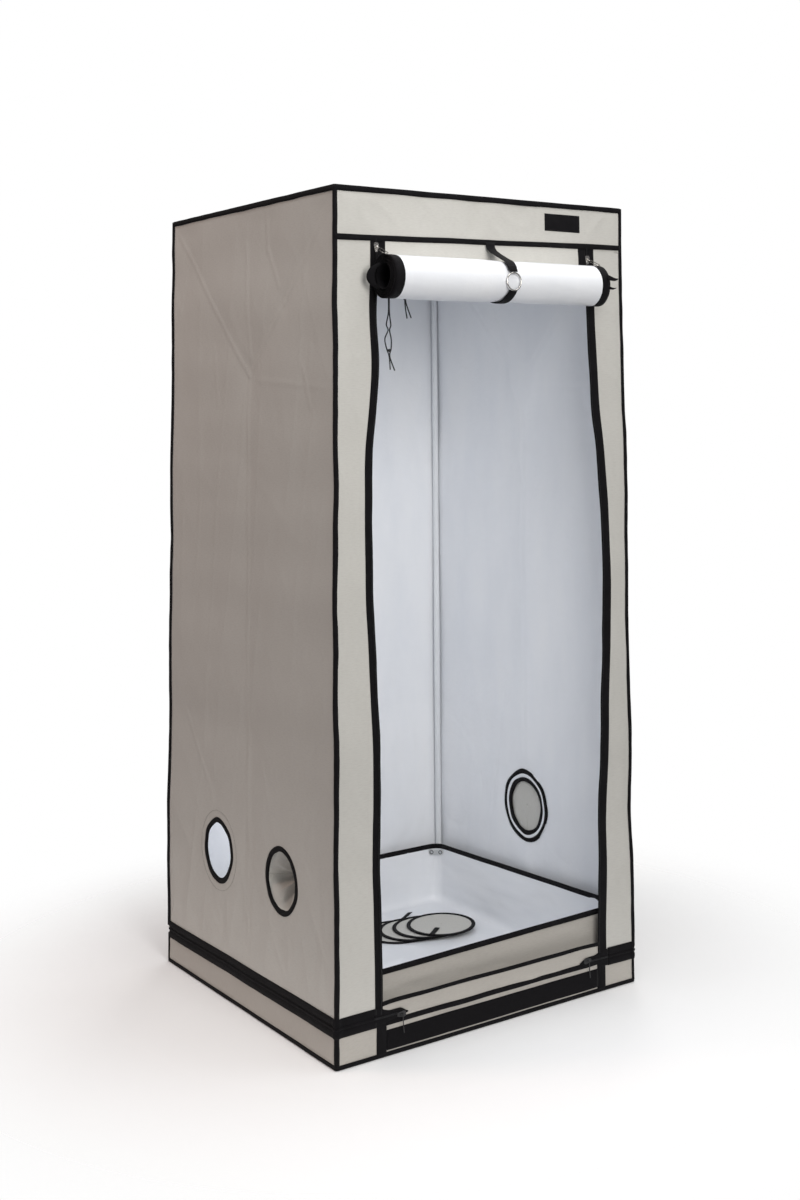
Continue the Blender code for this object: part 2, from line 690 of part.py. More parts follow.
def build_upper_binding():
    """The tape over the roof, corner and header seams, made as a cage with open faces."""
    half_x, half_y = TENT_WIDTH / 2, TENT_DEPTH / 2
    low = BAND_HIGH + GAP
    cage = box("upper_binding", (-half_x, -half_y, low), (half_x, half_y, TENT_HEIGHT), "black_binding")
    inner_x, inner_y, inner_z = half_x - BINDING, half_y - BINDING, TENT_HEIGHT - BINDING
    far_x, far_y, far_z = half_x + OVERRUN, half_y + OVERRUN, TENT_HEIGHT + OVERRUN
    open_x, open_y, open_z = half_x - CORNER_LEG, half_y - CORNER_LEG, TENT_HEIGHT - TOP_LEG
    under = low - OVERRUN
    roof_x, roof_y = half_x - TOP_LEG, half_y - TOP_LEG
    cut(
        cage,
        box("binding_inside", (-inner_x, -inner_y, under), (inner_x, inner_y, inner_z)),
        box("binding_sides", (-far_x, -open_y, under), (far_x, open_y, open_z)),
        box("binding_rear", (-open_x, 0, under), (open_x, far_y, open_z)),
        box("binding_door", (-open_x, -far_y, under), (open_x, 0, HEADER_LOW)),
        box("binding_header", (-open_x, -far_y, HEADER_HIGH), (open_x, 0, open_z)),
        box("binding_roof", (-roof_x, -roof_y, open_z), (roof_x, roof_y, far_z)),
    )


def build_base_binding():
    """The tape round the foot, up its corners and round the front doorway's hook strip."""
    half_x, half_y = TENT_WIDTH / 2, TENT_DEPTH / 2
    low, foot = BASE_BINDING_LIFT, BASE_BINDING_LIFT + BASE_LEG
    hoop = box("base_binding", (-half_x, -half_y, low), (half_x, half_y, SILL_LINE_HIGH), "black_binding")
    inner_x, inner_y = half_x - BINDING, half_y - BINDING
    far_x, far_y, far_z = half_x + OVERRUN, half_y + OVERRUN, SILL_LINE_HIGH + OVERRUN
    open_x, open_y = half_x - CORNER_LEG, half_y - CORNER_LEG
    corner_top = BAND_LOW - GAP
    front = -half_y + BINDING + GAP
    strip_left, strip_right = DOORWAY_LEFT + GAP, DOORWAY_RIGHT - GAP
    inside_left, inside_right = strip_left + DOORWAY_STRIP, strip_right - DOORWAY_STRIP
    cut(
        hoop,
        box("hoop_inside", (-inner_x, -inner_y, low - OVERRUN), (inner_x, inner_y, far_z)),
        box("hoop_sides", (-far_x, -open_y, foot), (far_x, open_y, far_z)),
        box("hoop_rear", (-open_x, 0, foot), (open_x, far_y, far_z)),
        box("hoop_above", (-far_x, front, corner_top), (far_x, far_y, far_z)),
        box("hoop_above_left", (-far_x, -far_y, corner_top), (strip_left, 0, far_z)),
        box("hoop_above_right", (strip_right, -far_y, corner_top), (far_x, 0, far_z)),
        box("hoop_left_window", (-open_x, -far_y, foot), (DOORWAY_LEFT - POST_BAND, 0, far_z)),
        box("hoop_right_window", (DOORWAY_RIGHT + POST_BAND, -far_y, foot), (open_x, 0, far_z)),
        box("hoop_doorway", (inside_left, -far_y, foot), (inside_right, 0, SILL_LINE_LOW)),
    )
    low_corner = (inside_left + HOOK_STRIP_INSET, -TAPE_BACK - HOOK_STRIP_THICKNESS, HOOK_STRIP_LOW)
    high_corner = (inside_right - HOOK_STRIP_INSET, -TAPE_BACK, HOOK_STRIP_HIGH)
    box("hook_strip", low_corner, high_corner, "black_binding")
    low_corner = (DOORWAY_LEFT + GAP, -half_y, LIP_TOP - LIP_BINDING)
    box("lip_binding", low_corner, (DOORWAY_RIGHT - GAP, -TAPE_BACK, LIP_TOP), "black_binding")


def hoop(name, outer_x, outer_y, low, high, thickness, shade=None):
    made = box(name, (-outer_x, -outer_y, low), (outer_x, outer_y, high), shade)
    inner_x, inner_y = outer_x - thickness, outer_y - thickness
    cut(made, box(f"{name}_inside", (-inner_x, -inner_y, low - OVERRUN), (inner_x, inner_y, high + OVERRUN)))
    return made


def build_base_zip():
    """Two zip tapes with their teeth between them, round the base between the doorway's sides."""
    back_x, back_y = CLOTH_X + GAP, TAPE_BACK
    face_x, face_y = back_x + BASE_ZIP_THICKNESS, back_y + BASE_ZIP_THICKNESS
    tooth_x, tooth_y = face_x + BASE_TEETH_PROUD, face_y + BASE_TEETH_PROUD
    zip_band = hoop("base_zip", face_x, face_y, BAND_LOW, BAND_HIGH, BASE_ZIP_THICKNESS, "black_binding")
    teeth_low, teeth_high = BASE_ZIP_Z - BASE_TEETH_HEIGHT / 2, BASE_ZIP_Z + BASE_TEETH_HEIGHT / 2
    teeth_depth = BASE_ZIP_THICKNESS + BASE_TEETH_PROUD
    join(zip_band, hoop("base_zip_teeth", tooth_x, tooth_y, teeth_low, teeth_high, teeth_depth))
    far_y, far_z = tooth_y + OVERRUN, BAND_HIGH + OVERRUN
    cut(zip_band, box("base_zip_doorway", (DOORWAY_LEFT, -far_y, 0), (DOORWAY_RIGHT, 0, far_z)))
    low, high = SILL_LINE_HIGH + GAP, SILL_LINE_HIGH + GAP + TONGUE_HEIGHT
    for name, start, end in (
        ("left", DOORWAY_LEFT - POST_BAND, DOORWAY_LEFT + TONGUE_LENGTH),
        ("right", DOORWAY_RIGHT - TONGUE_LENGTH, DOORWAY_RIGHT + POST_BAND),
    ):
        teeth = box(f"base_zip_end_teeth_{name}", (start, -tooth_y, teeth_low), (end, -back_y, teeth_high))
        join(zip_band, box(f"base_zip_end_{name}", (start, -face_y, low), (end, -back_y, high)), teeth)


def door_zip(name, edge, width, inward):
    """A zip tape sewn along a post's slack edge, with its teeth along the free side."""
    low, high = BAND_HIGH + GAP, HEADER_LOW - GAP
    rings = []
    for row in range(POST_ROWS + 1):
        z = low + (high - low) * row / POST_ROWS
        sewn = edge(z) - inward * DOOR_TAPE_LAP
        free = sewn + inward * width
        teeth = free - inward * DOOR_TEETH_WIDTH
        section = [
            (sewn, TAPE_BACK), (free, TAPE_BACK), (free, TEETH_FRONT),
            (teeth, TEETH_FRONT), (teeth, TAPE_FRONT), (sewn, TAPE_FRONT),
        ]
        rings.append([(x, -y, z) for x, y in section])
    loft(name, rings, "black_binding")


# Door


def roll_point(turn, radius):
    """A point of the roll's section about its axis. It starts at the back and goes down, forward and up."""
    angle = -2 * math.pi * turn
    return radius * math.cos(angle), radius * math.sin(angle)


def build_door_roll():
    """The door wound on itself. Its turns are one unbroken spiral sheet."""
    turns = (ROLL_RADIUS - ROLL_CORE_RADIUS) / ROLL_PITCH
    steps = math.ceil(turns * ROLL_STEPS)
    outer, inner = [], []
    for step in range(steps + 1):
        turn = turns * step / steps
        radius = ROLL_RADIUS - ROLL_PITCH * turn
        outer.append(roll_point(turn, radius))
        inner.append(roll_point(turn, radius - FABRIC))
    section = outer + inner[::-1]
    ends = [[(x, y, z) for y, z in section] for x in (ROLL_LEFT, ROLL_RIGHT)]
    bm = bmesh.new()
    rows = [[bm.verts.new(point) for point in ring] for ring in ends]
    count = len(section)
    for i in range(count):
        j = (i + 1) % count
        bm.faces.new((rows[0][i], rows[0][j], rows[1][j], rows[1][i]))
    for row in rows:
        for i in range(steps):
            bm.faces.new((row[i], row[i + 1], row[count - 2 - i], row[count - 1 - i]))
    roll = mesh_object("door_roll", bm, "white_fabric", smooth=True)
    roll.location = (0, ROLL_Y, ROLL_Z)
    print(f"door_roll: {turns:.1f} turns, least gap {1000 * least_gap(outer, inner):.2f} mm to itself")


def least_gap(outer, inner):
    """The least distance between a turn's outer side and the inner side of the turn round it."""
    near = ROLL_STEPS // 2
    return min(
        math.dist(a, b) for i, a in enumerate(outer) for j, b in enumerate(inner) if i - j > near
    )


def build_door_sheet():
    """The part of the door between the header seam and the roll."""
    top, bottom = HEADER_LOW - GAP, ROLL_Z + GAP
    front_top, front_bottom = TAPE_BACK, -(ROLL_Y + ROLL_RADIUS)
    bm = bmesh.new()
    bmesh.ops.create_grid(bm, x_segments=2, y_segments=SHEET_ROWS, size=1)
    for vert in bm.verts:
        share = (1 - vert.co.y) / 2
        x = SHEET_LEFT + (vert.co.x + 1) / 2 * (SHEET_RIGHT - SHEET_LEFT)
        ease = math.sin(share * math.pi / 2)
        vert.co = (x, -(front_top + (front_bottom - front_top) * ease), top + (bottom - top) * share)
    sheet = mesh_object("door_sheet", bm, "beige_fabric")
    solidify(sheet, FABRIC, Vector((0, -1, 0)))


def strap_path():
    """The middle line of the strap, as (x, y, z), from the header over the roll and up behind the door."""
    hug = ROLL_RADIUS + STRAP_CLEAR + STRAP_THICKNESS / 2
    start = Vector((STRAP_TOP_X, -(TENT_DEPTH / 2 + GAP + STRAP_THICKNESS / 2), HEADER_SEAM_Z))
    points = [start]
    before_ring = STRAP_RING_AT_DEG - STRAP_TURN_FROM_DEG
    after_ring = STRAP_HUG_AT_DEG - STRAP_RING_AT_DEG
    hugging = STRAP_TURN_TO_DEG - STRAP_HUG_AT_DEG
    for degrees in range(STRAP_TURN_FROM_DEG, STRAP_TURN_TO_DEG + 1, STRAP_STEP_DEG):
        angle = math.radians(degrees)
        if degrees <= STRAP_RING_AT_DEG:
            share = (degrees - STRAP_TURN_FROM_DEG) / before_ring
            lift = STRAP_RING_LIFT * math.sin(math.pi / 2 * share)
            slant = STRAP_SLANT_SHARE + (1 - STRAP_SLANT_SHARE) * share
            x = STRAP_TOP_X + (STRAP_RING_X - STRAP_TOP_X) * slant
        elif degrees < STRAP_HUG_AT_DEG:
            share = (degrees - STRAP_RING_AT_DEG) / after_ring
            lift = STRAP_RING_LIFT * (1 + math.cos(math.pi * share)) / 2
            x = STRAP_RING_X
        else:
            share = (degrees - STRAP_HUG_AT_DEG) / hugging
            lift = 0
            x = STRAP_RING_X + (STRAP_TAIL_X - STRAP_RING_X) * share
        radius = hug + lift
        points.append(Vector((x, ROLL_Y + radius * math.cos(angle), ROLL_Z + radius * math.sin(angle))))
    behind = -(CLOTH_Y - FABRIC - GAP - STRAP_THICKNESS / 2)
    points.append(Vector((STRAP_TAIL_X, behind - FABRIC, ROLL_Z - STRAP_CLEAR - BINDING)))
    points.append(Vector((STRAP_TAIL_X, behind, HEADER_LOW - STRAP_WIDTH)))
    points.append(Vector((STRAP_TAIL_X, behind, HEADER_LOW - GAP)))
    return points


def build_strap():
    """A webbing strap round the roll and through its ring."""
    path = smooth_through(strap_path(), 2)
    rings = []
    for i, point in enumerate(path):
        before, after = path[max(i - 1, 0)], path[min(i + 1, len(path) - 1)]
        along = after - before
        along.x = 0
        out = Vector((0, along.z, -along.y)).normalized() * STRAP_THICKNESS / 2
        across = Vector((STRAP_WIDTH / 2, 0, 0))
        rings.append([point - across - out, point + across - out, point + across + out, point - across + out])
    loft("roll_strap", rings, "black_binding")


def build_strap_ring():
    """The ring that the strap passes through, in front of the roll."""
    rings = []
    for i in range(RING_STEPS):
        a = 2 * math.pi * i / RING_STEPS
        ring = []
        for j in range(RING_SIDES):
            b = 2 * math.pi * j / RING_SIDES
            r = RING_RADIUS + RING_WIRE * math.cos(b)
            ring.append((r * math.sin(a), RING_WIRE * math.sin(b), r * math.cos(a)))
        rings.append(ring)
    ring = loft("strap_ring", rings, "nickel", ends="joined")
    ring.location = (STRAP_RING_X, ROLL_Y - ROLL_RADIUS - GAP - RING_WIRE, ROLL_Z - RING_DROP)


# Zip sliders and pullers


def slider_outline():
    """A slider seen from the front: broad shoulders that narrow to its tail."""
    half, length = SLIDER_WIDTH / 2, SLIDER_LENGTH / 2
    tail = half * SLIDER_TAPER_SHARE
    shoulder, hip = length * SLIDER_SHOULDER_SHARE, -length * SLIDER_TAIL_SHARE
    nose, heel = half * SLIDER_NECK_SHARE, tail * SLIDER_NECK_SHARE
    return [
        (-half, shoulder), (-nose, length), (nose, length), (half, shoulder),
        (tail, hip), (heel, -length), (-heel, -length), (-tail, hip),
    ]


def bridge(name):
    """The arch on a slider that holds its puller, in its own YZ plane."""
    outer, inner = BRIDGE_RADIUS, BRIDGE_RADIUS - BRIDGE_STOCK
    angles = [math.pi * i / BRIDGE_STEPS for i in range(BRIDGE_STEPS + 1)]
    points = [(outer * math.cos(a), outer * math.sin(a)) for a in angles]
    points.append((-outer, -SLIDER_THICKNESS / 2))
    points.append((-inner, -SLIDER_THICKNESS / 2))
    points += [(inner * math.cos(a), inner * math.sin(a)) for a in reversed(angles)]
    points.append((inner, -SLIDER_THICKNESS / 2))
    points.append((outer, -SLIDER_THICKNESS / 2))
    return outline_solid(name, points, BRIDGE_WIDTH)


def slider(name, centre, tail_turn, shade):
    """A slider's front plate and bridge, facing -Y, with its tail turned about Y."""
    plate = outline_solid(name, slider_outline(), SLIDER_THICKNESS, shade)
    bevel = plate.modifiers.new("Rounded edges", "BEVEL")
    bevel.width = SLIDER_EDGE
    bevel.segments = 1
    bevel.limit_method = "ANGLE"
    facing = Matrix.Rotation(tail_turn, 4, "Y") @ Matrix.Rotation(math.pi / 2, 4, "X")
    plate.matrix_world = Matrix.Translation(centre) @ facing
    arch = bridge(f"{name}_bridge")
    stand = Matrix.Translation((0, 0, SLIDER_THICKNESS / 2 - GAP))
    upright = Matrix.Rotation(math.pi / 2, 4, "X") @ Matrix.Rotation(math.pi / 2, 4, "Y")
    arch.matrix_world = plate.matrix_world @ stand @ upright
    join(plate, arch)
    return plate


def puller(name, pivot, droop):
    """An oval wire loop hung in a slider's bridge, pointing forward and down."""
    half = PULLER_WIDTH / 2
    straight = PULLER_LENGTH - 2 * half
    loop = []
    for start, centre in ((0, -half), (math.pi, -half - straight)):
        for i in range(PULLER_STEPS + 1):
            a = start + math.pi * i / PULLER_STEPS
            loop.append((half * math.cos(a), centre + half * math.sin(a), 0))
    obj = bpy.data.objects.new(name, wire_curve(name, loop, PULLER_WIRE, cyclic=True))
    PARTS.objects.link(obj)
    obj.data.materials.append(MATERIALS["nickel"])
    obj.location = pivot
    obj.rotation_euler = (droop, 0, 0)


def droop_onto_roll(pivot):
    """The angle at which a puller's free end rests on the roll. One that is too short points at its axis."""
    forward, down = pivot[1] - ROLL_Y, pivot[2] - ROLL_Z
    reach, seat = math.hypot(forward, down), ROLL_RADIUS + PULLER_WIRE + GAP
    opening = (reach**2 + PULLER_LENGTH**2 - seat**2) / (2 * reach * PULLER_LENGTH)
    return math.atan2(down, forward) - math.acos(min(1, opening))


def build_door_sliders():
    back = TEETH_FRONT + GAP
    z = HEADER_LOW - SLIDER_DROP - SLIDER_LENGTH / 2
    for side, x in (("left", DOOR_SLIDER_LEFT_X), ("right", DOOR_SLIDER_RIGHT_X)):
        slider(f"door_zip_slider_{side}", (x, -(back + SLIDER_THICKNESS / 2), z), 0, "nickel")
        pivot = (x, -(back + SLIDER_THICKNESS + (BRIDGE_RADIUS - BRIDGE_STOCK) / 2), z)
        puller(f"door_zip_puller_{side}", pivot, droop_onto_roll(pivot))


def build_base_sliders():
    back = TAPE_BACK + BASE_ZIP_THICKNESS + BASE_TEETH_PROUD + GAP
    for side, x, turn_deg in (("left", BASE_SLIDER_LEFT_X, 90), ("right", BASE_SLIDER_RIGHT_X, -90)):
        name = f"base_zip_slider_{side}"
        centre = (x, -(back + SLIDER_THICKNESS / 2), BASE_ZIP_Z)
        plate = slider(name, centre, math.radians(turn_deg), "black_plastic")
        knot_y = -(back + SLIDER_THICKNESS + BRIDGE_RADIUS)
        route = [
            (x, knot_y + BRIDGE_STOCK, BASE_ZIP_Z),
            (x, knot_y - PULL_CORD_RADIUS, BASE_ZIP_Z - PULL_CORD_RADIUS),
            (x, knot_y - PULL_CORD_RADIUS, BASE_ZIP_Z - PULL_CORD_LENGTH / 2),
            (x + PULL_CORD_LEAN, knot_y, BASE_ZIP_Z - PULL_CORD_LENGTH),
        ]
        cord = wire_curve(f"{name}_cord", smooth_through(route, PULLER_STEPS // 2), PULL_CORD_RADIUS)
        join(plate, welded_copy(f"{name}_cord", cord, None))


# Ports, sleeves and drawstrings


def port_profile(ring_radius, bore_radius, patch_radius):
    """A port's section from its patch to its ring, as (radius, height) with the outside of the cloth at 0."""
    back = -(FABRIC + GAP)
    return [
        (ring_radius, PORT_RING_PROUD), (ring_radius, back), (patch_radius, back),
        (patch_radius, back - PORT_PATCH_THICKNESS), (bore_radius, back - PORT_PATCH_THICKNESS),
        (bore_radius, PORT_RING_PROUD),
    ]


def sleeved_port(name, ring_radius, bore_radius, patch_radius, length, shares):
    """A port whose cloth sleeve is drawn together behind it, in folds."""
    profile = port_profile(ring_radius, bore_radius, patch_radius)
    section = [(radius, height, 0.0) for radius, height in profile]
    back = -(FABRIC + GAP + PORT_PATCH_THICKNESS)
    outside = [(bore_radius * radius, back - length * along, fold) for radius, along, fold in shares]
    inside = [(radius - SLEEVE_WALL, height, fold) for radius, height, fold in outside]
    mouth = bore_radius - SLEEVE_WALL
    front = section[:5]
    section = [*front, *outside, *inside[::-1], (mouth, back, 0.0), (mouth, PORT_RING_PROUD, 0.0)]
    rings = []
    for i in range(PORT_SIDES):
        angle = 2 * math.pi * i / PORT_SIDES
        ring = []
        for radius, height, fold in section:
            r = radius + fold * bore_radius * math.cos(SLEEVE_FOLDS * angle)
            ring.append((r * math.cos(angle), r * math.sin(angle), height))
        rings.append(ring)
    turn = len(front) + len(outside)
    return loft(name, rings, "beige_fabric", ends="joined", mirrored_from=turn)


def build_ports():
    sizes = (PORT_RING_RADIUS, PORT_BORE_RADIUS, PORT_PATCH_RADIUS)
    left, right = (-1, 0, 0), (1, 0, 0)
    rear_port = turned("port_left_rear", port_profile(*sizes), PORT_SIDES, "black_binding")
    aim(rear_port, (-CLOTH_X, LEFT_REAR_PORT_Y, PORT_HEIGHT), left)
    right_port = turned("port_right", port_profile(*sizes), PORT_SIDES, "black_binding")
    aim(right_port, (CLOTH_X, RIGHT_PORT_Y, PORT_HEIGHT), right)
    front_port = sleeved_port("port_left_front", *sizes, SIDE_SLEEVE_LENGTH, SIDE_SLEEVE_SHARES)
    aim(front_port, (-CLOTH_X, LEFT_FRONT_PORT_Y, PORT_HEIGHT), left)
    roof_sizes = (ROOF_RING_RADIUS, ROOF_BORE_RADIUS, ROOF_PATCH_RADIUS)
    roof_port = sleeved_port("port_roof", *roof_sizes, ROOF_SLEEVE_LENGTH, ROOF_SLEEVE_SHARES)
    roof_port.location = (ROOF_PORT_X, ROOF_PORT_Y, CLOTH_Z)


def doubled_cord(name, first, second, knot_share):
    """Two strands of one drawstring with the knot that ties them."""
    top = Vector((0, 0, TENT_HEIGHT))
    lines = [[top + point for point in smooth_through(route, CORD_STEPS)] for route in (first, second)]
    strand = welded_copy(name, wire_curve(name, lines[0], CORD_RADIUS), "black_cord")
    other = f"{name}_second"
    other_strand = welded_copy(other, wire_curve(other, lines[1], CORD_RADIUS), None)
    index = round(knot_share * (len(lines[0]) - 1))
    bm = bmesh.new()
    bmesh.ops.create_uvsphere(bm, u_segments=KNOT_SEGMENTS, v_segments=KNOT_SEGMENTS, radius=KNOT_RADIUS)
    bmesh.ops.translate(bm, vec=(lines[0][index] + lines[1][index]) / 2, verts=bm.verts)
    join(strand, other_strand, mesh_object(f"{name}_knot", bm))


def build_cords():
    doubled_cord("drawstring_long", LONG_CORD_A, LONG_CORD_B, LONG_KNOT_SHARE)
    doubled_cord("drawstring_short", SHORT_CORD_A, SHORT_CORD_B, SHORT_KNOT_SHARE)


# Tray and covers


def tray_outline(inset):
    """The tray's rounded outline seen from above, drawn in by an inset."""
    half_x, half_y = TRAY_WIDTH / 2 - inset, TRAY_DEPTH / 2 - inset
    radius = TRAY_CORNER_RADIUS - inset
    corners = [(1, 1, 0), (-1, 1, 90), (-1, -1, 180), (1, -1, 270)]
    points = []
    for x_side, y_side, start in corners:
        centre = Vector((x_side * (half_x - radius), y_side * (half_y - radius)))
        arc = []
        for i in range(TRAY_CORNER_STEPS + 1):
            a = math.radians(start + 90 * i / TRAY_CORNER_STEPS)
            arc.append(centre + radius * Vector((math.cos(a), math.sin(a))))
        points.append(arc)
    outline = []
    for arc, following in zip(points, points[1:] + points[:1]):
        outline += arc
        outline += [arc[-1].lerp(following[0], k / TRAY_SIDE_STEPS) for k in range(1, TRAY_SIDE_STEPS)]
    return outline


def rim_height(point):
    """The rim hangs a little at the corners and stands higher along the sides."""
    corner = min(abs(point.x) / (TRAY_WIDTH / 2), abs(point.y) / (TRAY_DEPTH / 2))
    return TRAY_RIM + TRAY_RIM_RISE * (TRAY_RIM_LEVEL_SHARE - corner**2)


def build_tray():
    outer, inner = tray_outline(0), tray_outline(TRAY_FABRIC)
    foot_outer = tray_outline(TRAY_FOOT_RADIUS)
    foot_inner = tray_outline(TRAY_FOOT_RADIUS + TRAY_FABRIC / 2)
    inside = TRAY_FLOOR + TRAY_FABRIC
    shin = TRAY_FLOOR + TRAY_FOOT_RADIUS
    rings = [
        [(p.x, p.y, TRAY_FLOOR) for p in foot_outer],
        [(p.x, p.y, shin) for p in outer],
        [(p.x, p.y, rim_height(p)) for p in outer],
        [(q.x, q.y, rim_height(p)) for p, q in zip(outer, inner)],
        [(p.x, p.y, shin + TRAY_FABRIC / 2) for p in inner],
        [(p.x, p.y, inside) for p in foot_inner],
    ]
    tray = loft("tray", rings, "white_fabric")
    for x_side, y_side in ((1, 1), (-1, 1), (-1, -1), (1, -1)):
        join(tray, tray_clip(x_side, y_side))
    bind_tray_rim(outer, inner)


def tray_clip(x_side, y_side):
    """A plastic clip across a corner of the tray, with a hole near each end."""
    name = f"tray_clip_{'right' if x_side > 0 else 'left'}_{'rear' if y_side > 0 else 'front'}"
    low = Vector((-CLIP_LENGTH / 2, -CLIP_THICKNESS / 2, -CLIP_HEIGHT / 2))
    clip = box(name, low, -low)
    z = TRAY_RIM - TRAY_RIM_RISE / 2 - CLIP_DROP - CLIP_HEIGHT / 2
    chord = math.sqrt((TRAY_CORNER_RADIUS - TRAY_FABRIC / 2) ** 2 - (CLIP_LENGTH / 2) ** 2)
    inset = TRAY_CORNER_RADIUS - chord / math.sqrt(2)
    place = Vector((x_side * (TRAY_WIDTH / 2 - inset), y_side * (TRAY_DEPTH / 2 - inset), z))
    turn = Matrix.Rotation(-x_side * y_side * math.pi / 4, 4, "Z")
    clip.matrix_world = Matrix.Translation(place) @ turn
    for side in (-1, 1):
        middle = Vector((side * CLIP_HOLE_SPACING / 2, 0, 0))
        reach = Vector((0, OVERRUN, 0))
        ends = (middle - reach, middle + reach)
        hole = cylinder(f"{name}_hole_{side + 1}", *ends, CLIP_HOLE_RADIUS, CLIP_HOLE_SIDES)
        hole.matrix_world = clip.matrix_world
        cut(clip, hole)
    return clip


def bind_tray_rim(outer, inner):
    """Tape folded over the rim of the tray."""
    out_face, out_skin = tray_outline(-GAP), tray_outline(-GAP - RIM_BINDING_FABRIC)
    in_face = tray_outline(TRAY_FABRIC + GAP)
    in_skin = tray_outline(TRAY_FABRIC + GAP + RIM_BINDING_FABRIC)
    rings = []
    for p, a, b, c, d in zip(outer, out_skin, out_face, in_face, in_skin):
        top = rim_height(p)
        under, over, foot = top + GAP, top + GAP + RIM_BINDING_FABRIC, top - RIM_BINDING_HEIGHT
        rings.append([
            (a.x, a.y, foot), (a.x, a.y, over), (d.x, d.y, over), (d.x, d.y, foot),
            (c.x, c.y, foot), (c.x, c.y, under), (b.x, b.y, under), (b.x, b.y, foot),
        ])
    loft("tray_rim_binding", rings, "black_binding", ends="joined")


def port_cover(name, matrix):
    """A cloth disc with a bound rim and a pull tab, made flat and put in its place."""
    web_low = (COVER_RIM - COVER_WEB) / 2
    web_high = web_low + COVER_WEB
    rim = COVER_RADIUS - COVER_RIM_WIDTH
    profile = [
        (0, web_high), (rim, web_high), (rim, COVER_RIM), (COVER_RADIUS, COVER_RIM),
        (COVER_RADIUS, 0), (rim, 0), (rim, web_low), (0, web_low),
    ]
    cover = turned(name, profile, COVER_SIDES, "beige_fabric", closed=False)
    far, half, top = rim + COVER_TAB_OVERLAP, COVER_TAB_WIDTH / 2, web_high + COVER_TAB_THICKNESS / 2
    tab = box(f"{name}_tab", (far - COVER_TAB_LENGTH, -half, top - COVER_TAB_THICKNESS), (far, half, top))
    cover.matrix_world = matrix
    tab.matrix_world = matrix
    join(cover, tab)


def build_covers():
    """One cover fitted over the right port, and the others stacked on the tray floor."""
    seat = CLOTH_X + PORT_RING_PROUD + GAP
    fitted = Matrix.Translation((seat, RIGHT_PORT_Y, PORT_HEIGHT)) @ Matrix.Rotation(math.pi / 2, 4, "Y")
    port_cover("port_cover_right", fitted @ Matrix.Rotation(math.radians(FITTED_COVER_TURN_DEG), 4, "Z"))
    floor = TRAY_FLOOR + TRAY_FABRIC + GAP
    lift = COVER_RIM + GAP
    first_x, first_y = TRAY_WIDTH / 2 - STACK_FROM_RIGHT, TRAY_DEPTH / 2 - STACK_FROM_REAR
    for number, turn in enumerate(COVER_TURNS_DEG):
        place = (first_x + number * STACK_STEP_X, first_y + number * STACK_STEP_Y, floor + number * lift)
        turn_about_z = Matrix.Rotation(math.radians(turn), 4, "Z")
        port_cover(f"port_cover_{number + 1}", Matrix.Translation(place) @ turn_about_z)


build_frame()
equipment_bar("equipment_bar_front", FRONT_BAR_Y)
equipment_bar("equipment_bar_rear", REAR_BAR_Y)
build_cover()
build_base_tub()
build_upper_binding()
build_base_binding()
build_base_zip()
door_zip("door_zip_tape_left", left_edge, DOOR_TAPE_LEFT, 1)
door_zip("door_zip_tape_right", right_edge, DOOR_TAPE_RIGHT, -1)
build_door_roll()
build_door_sheet()
build_strap()
build_strap_ring()
build_door_sliders()
build_base_sliders()
build_ports()
build_cords()
build_tray()
build_covers()
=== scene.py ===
"""The looks of an indoor grow tent with its door rolled up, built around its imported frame."""

from math import asin, atan2, cos, exp, pi, radians, sin

import bmesh
import bpy
from mathutils import Matrix, Vector, noise


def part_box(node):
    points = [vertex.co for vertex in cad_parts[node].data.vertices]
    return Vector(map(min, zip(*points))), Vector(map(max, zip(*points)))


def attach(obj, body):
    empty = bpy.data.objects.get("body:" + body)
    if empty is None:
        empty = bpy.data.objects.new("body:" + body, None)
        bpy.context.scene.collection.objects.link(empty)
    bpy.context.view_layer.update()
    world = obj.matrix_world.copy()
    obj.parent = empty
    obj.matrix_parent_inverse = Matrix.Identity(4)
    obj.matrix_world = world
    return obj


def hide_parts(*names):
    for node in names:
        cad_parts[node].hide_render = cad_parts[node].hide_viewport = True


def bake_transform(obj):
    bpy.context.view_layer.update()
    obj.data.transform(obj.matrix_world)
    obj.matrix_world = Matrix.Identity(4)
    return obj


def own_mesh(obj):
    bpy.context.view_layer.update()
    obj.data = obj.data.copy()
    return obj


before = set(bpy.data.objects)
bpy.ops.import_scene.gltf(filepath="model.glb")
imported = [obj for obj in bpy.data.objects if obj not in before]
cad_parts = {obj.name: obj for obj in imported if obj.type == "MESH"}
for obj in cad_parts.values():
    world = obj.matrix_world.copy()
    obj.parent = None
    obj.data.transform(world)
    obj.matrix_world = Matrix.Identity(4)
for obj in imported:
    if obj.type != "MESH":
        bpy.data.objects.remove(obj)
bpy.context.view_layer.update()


def vec(*values):
    return Vector(values)


UP, FRONT, RIGHT = vec(0, 0, 1), vec(0, -1, 0), vec(1, 0, 0)

# Camera, solved from the tent's corners in the photograph: azimuth, tilt and roll in degrees
CAMERA_PLACE = (-2.048, -3.205, 1.328)
CAMERA_ANGLES = (-36.343, -4.991, -0.652)
CAMERA_SHIFT = (-0.078, -0.274)
LENS = 46.45

# Places read from the frame: the outer face of the cloth, and the outer face of the binding over it
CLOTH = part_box("base_tub")[1].x
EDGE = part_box("upper_binding")[1].x
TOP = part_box("upper_binding")[1].z
CLOTH_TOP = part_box("cover_roof")[1].z
HEADER_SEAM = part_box("cover_header")[0].z
BAND_LOW, BAND_HIGH = (corner.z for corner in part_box("base_zip"))
BASE_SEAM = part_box("cover_left_wall")[0].z
LIP_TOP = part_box("lip_binding")[1].z
DOORWAY_LEFT, DOORWAY_RIGHT = (corner.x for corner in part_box("lip_binding"))

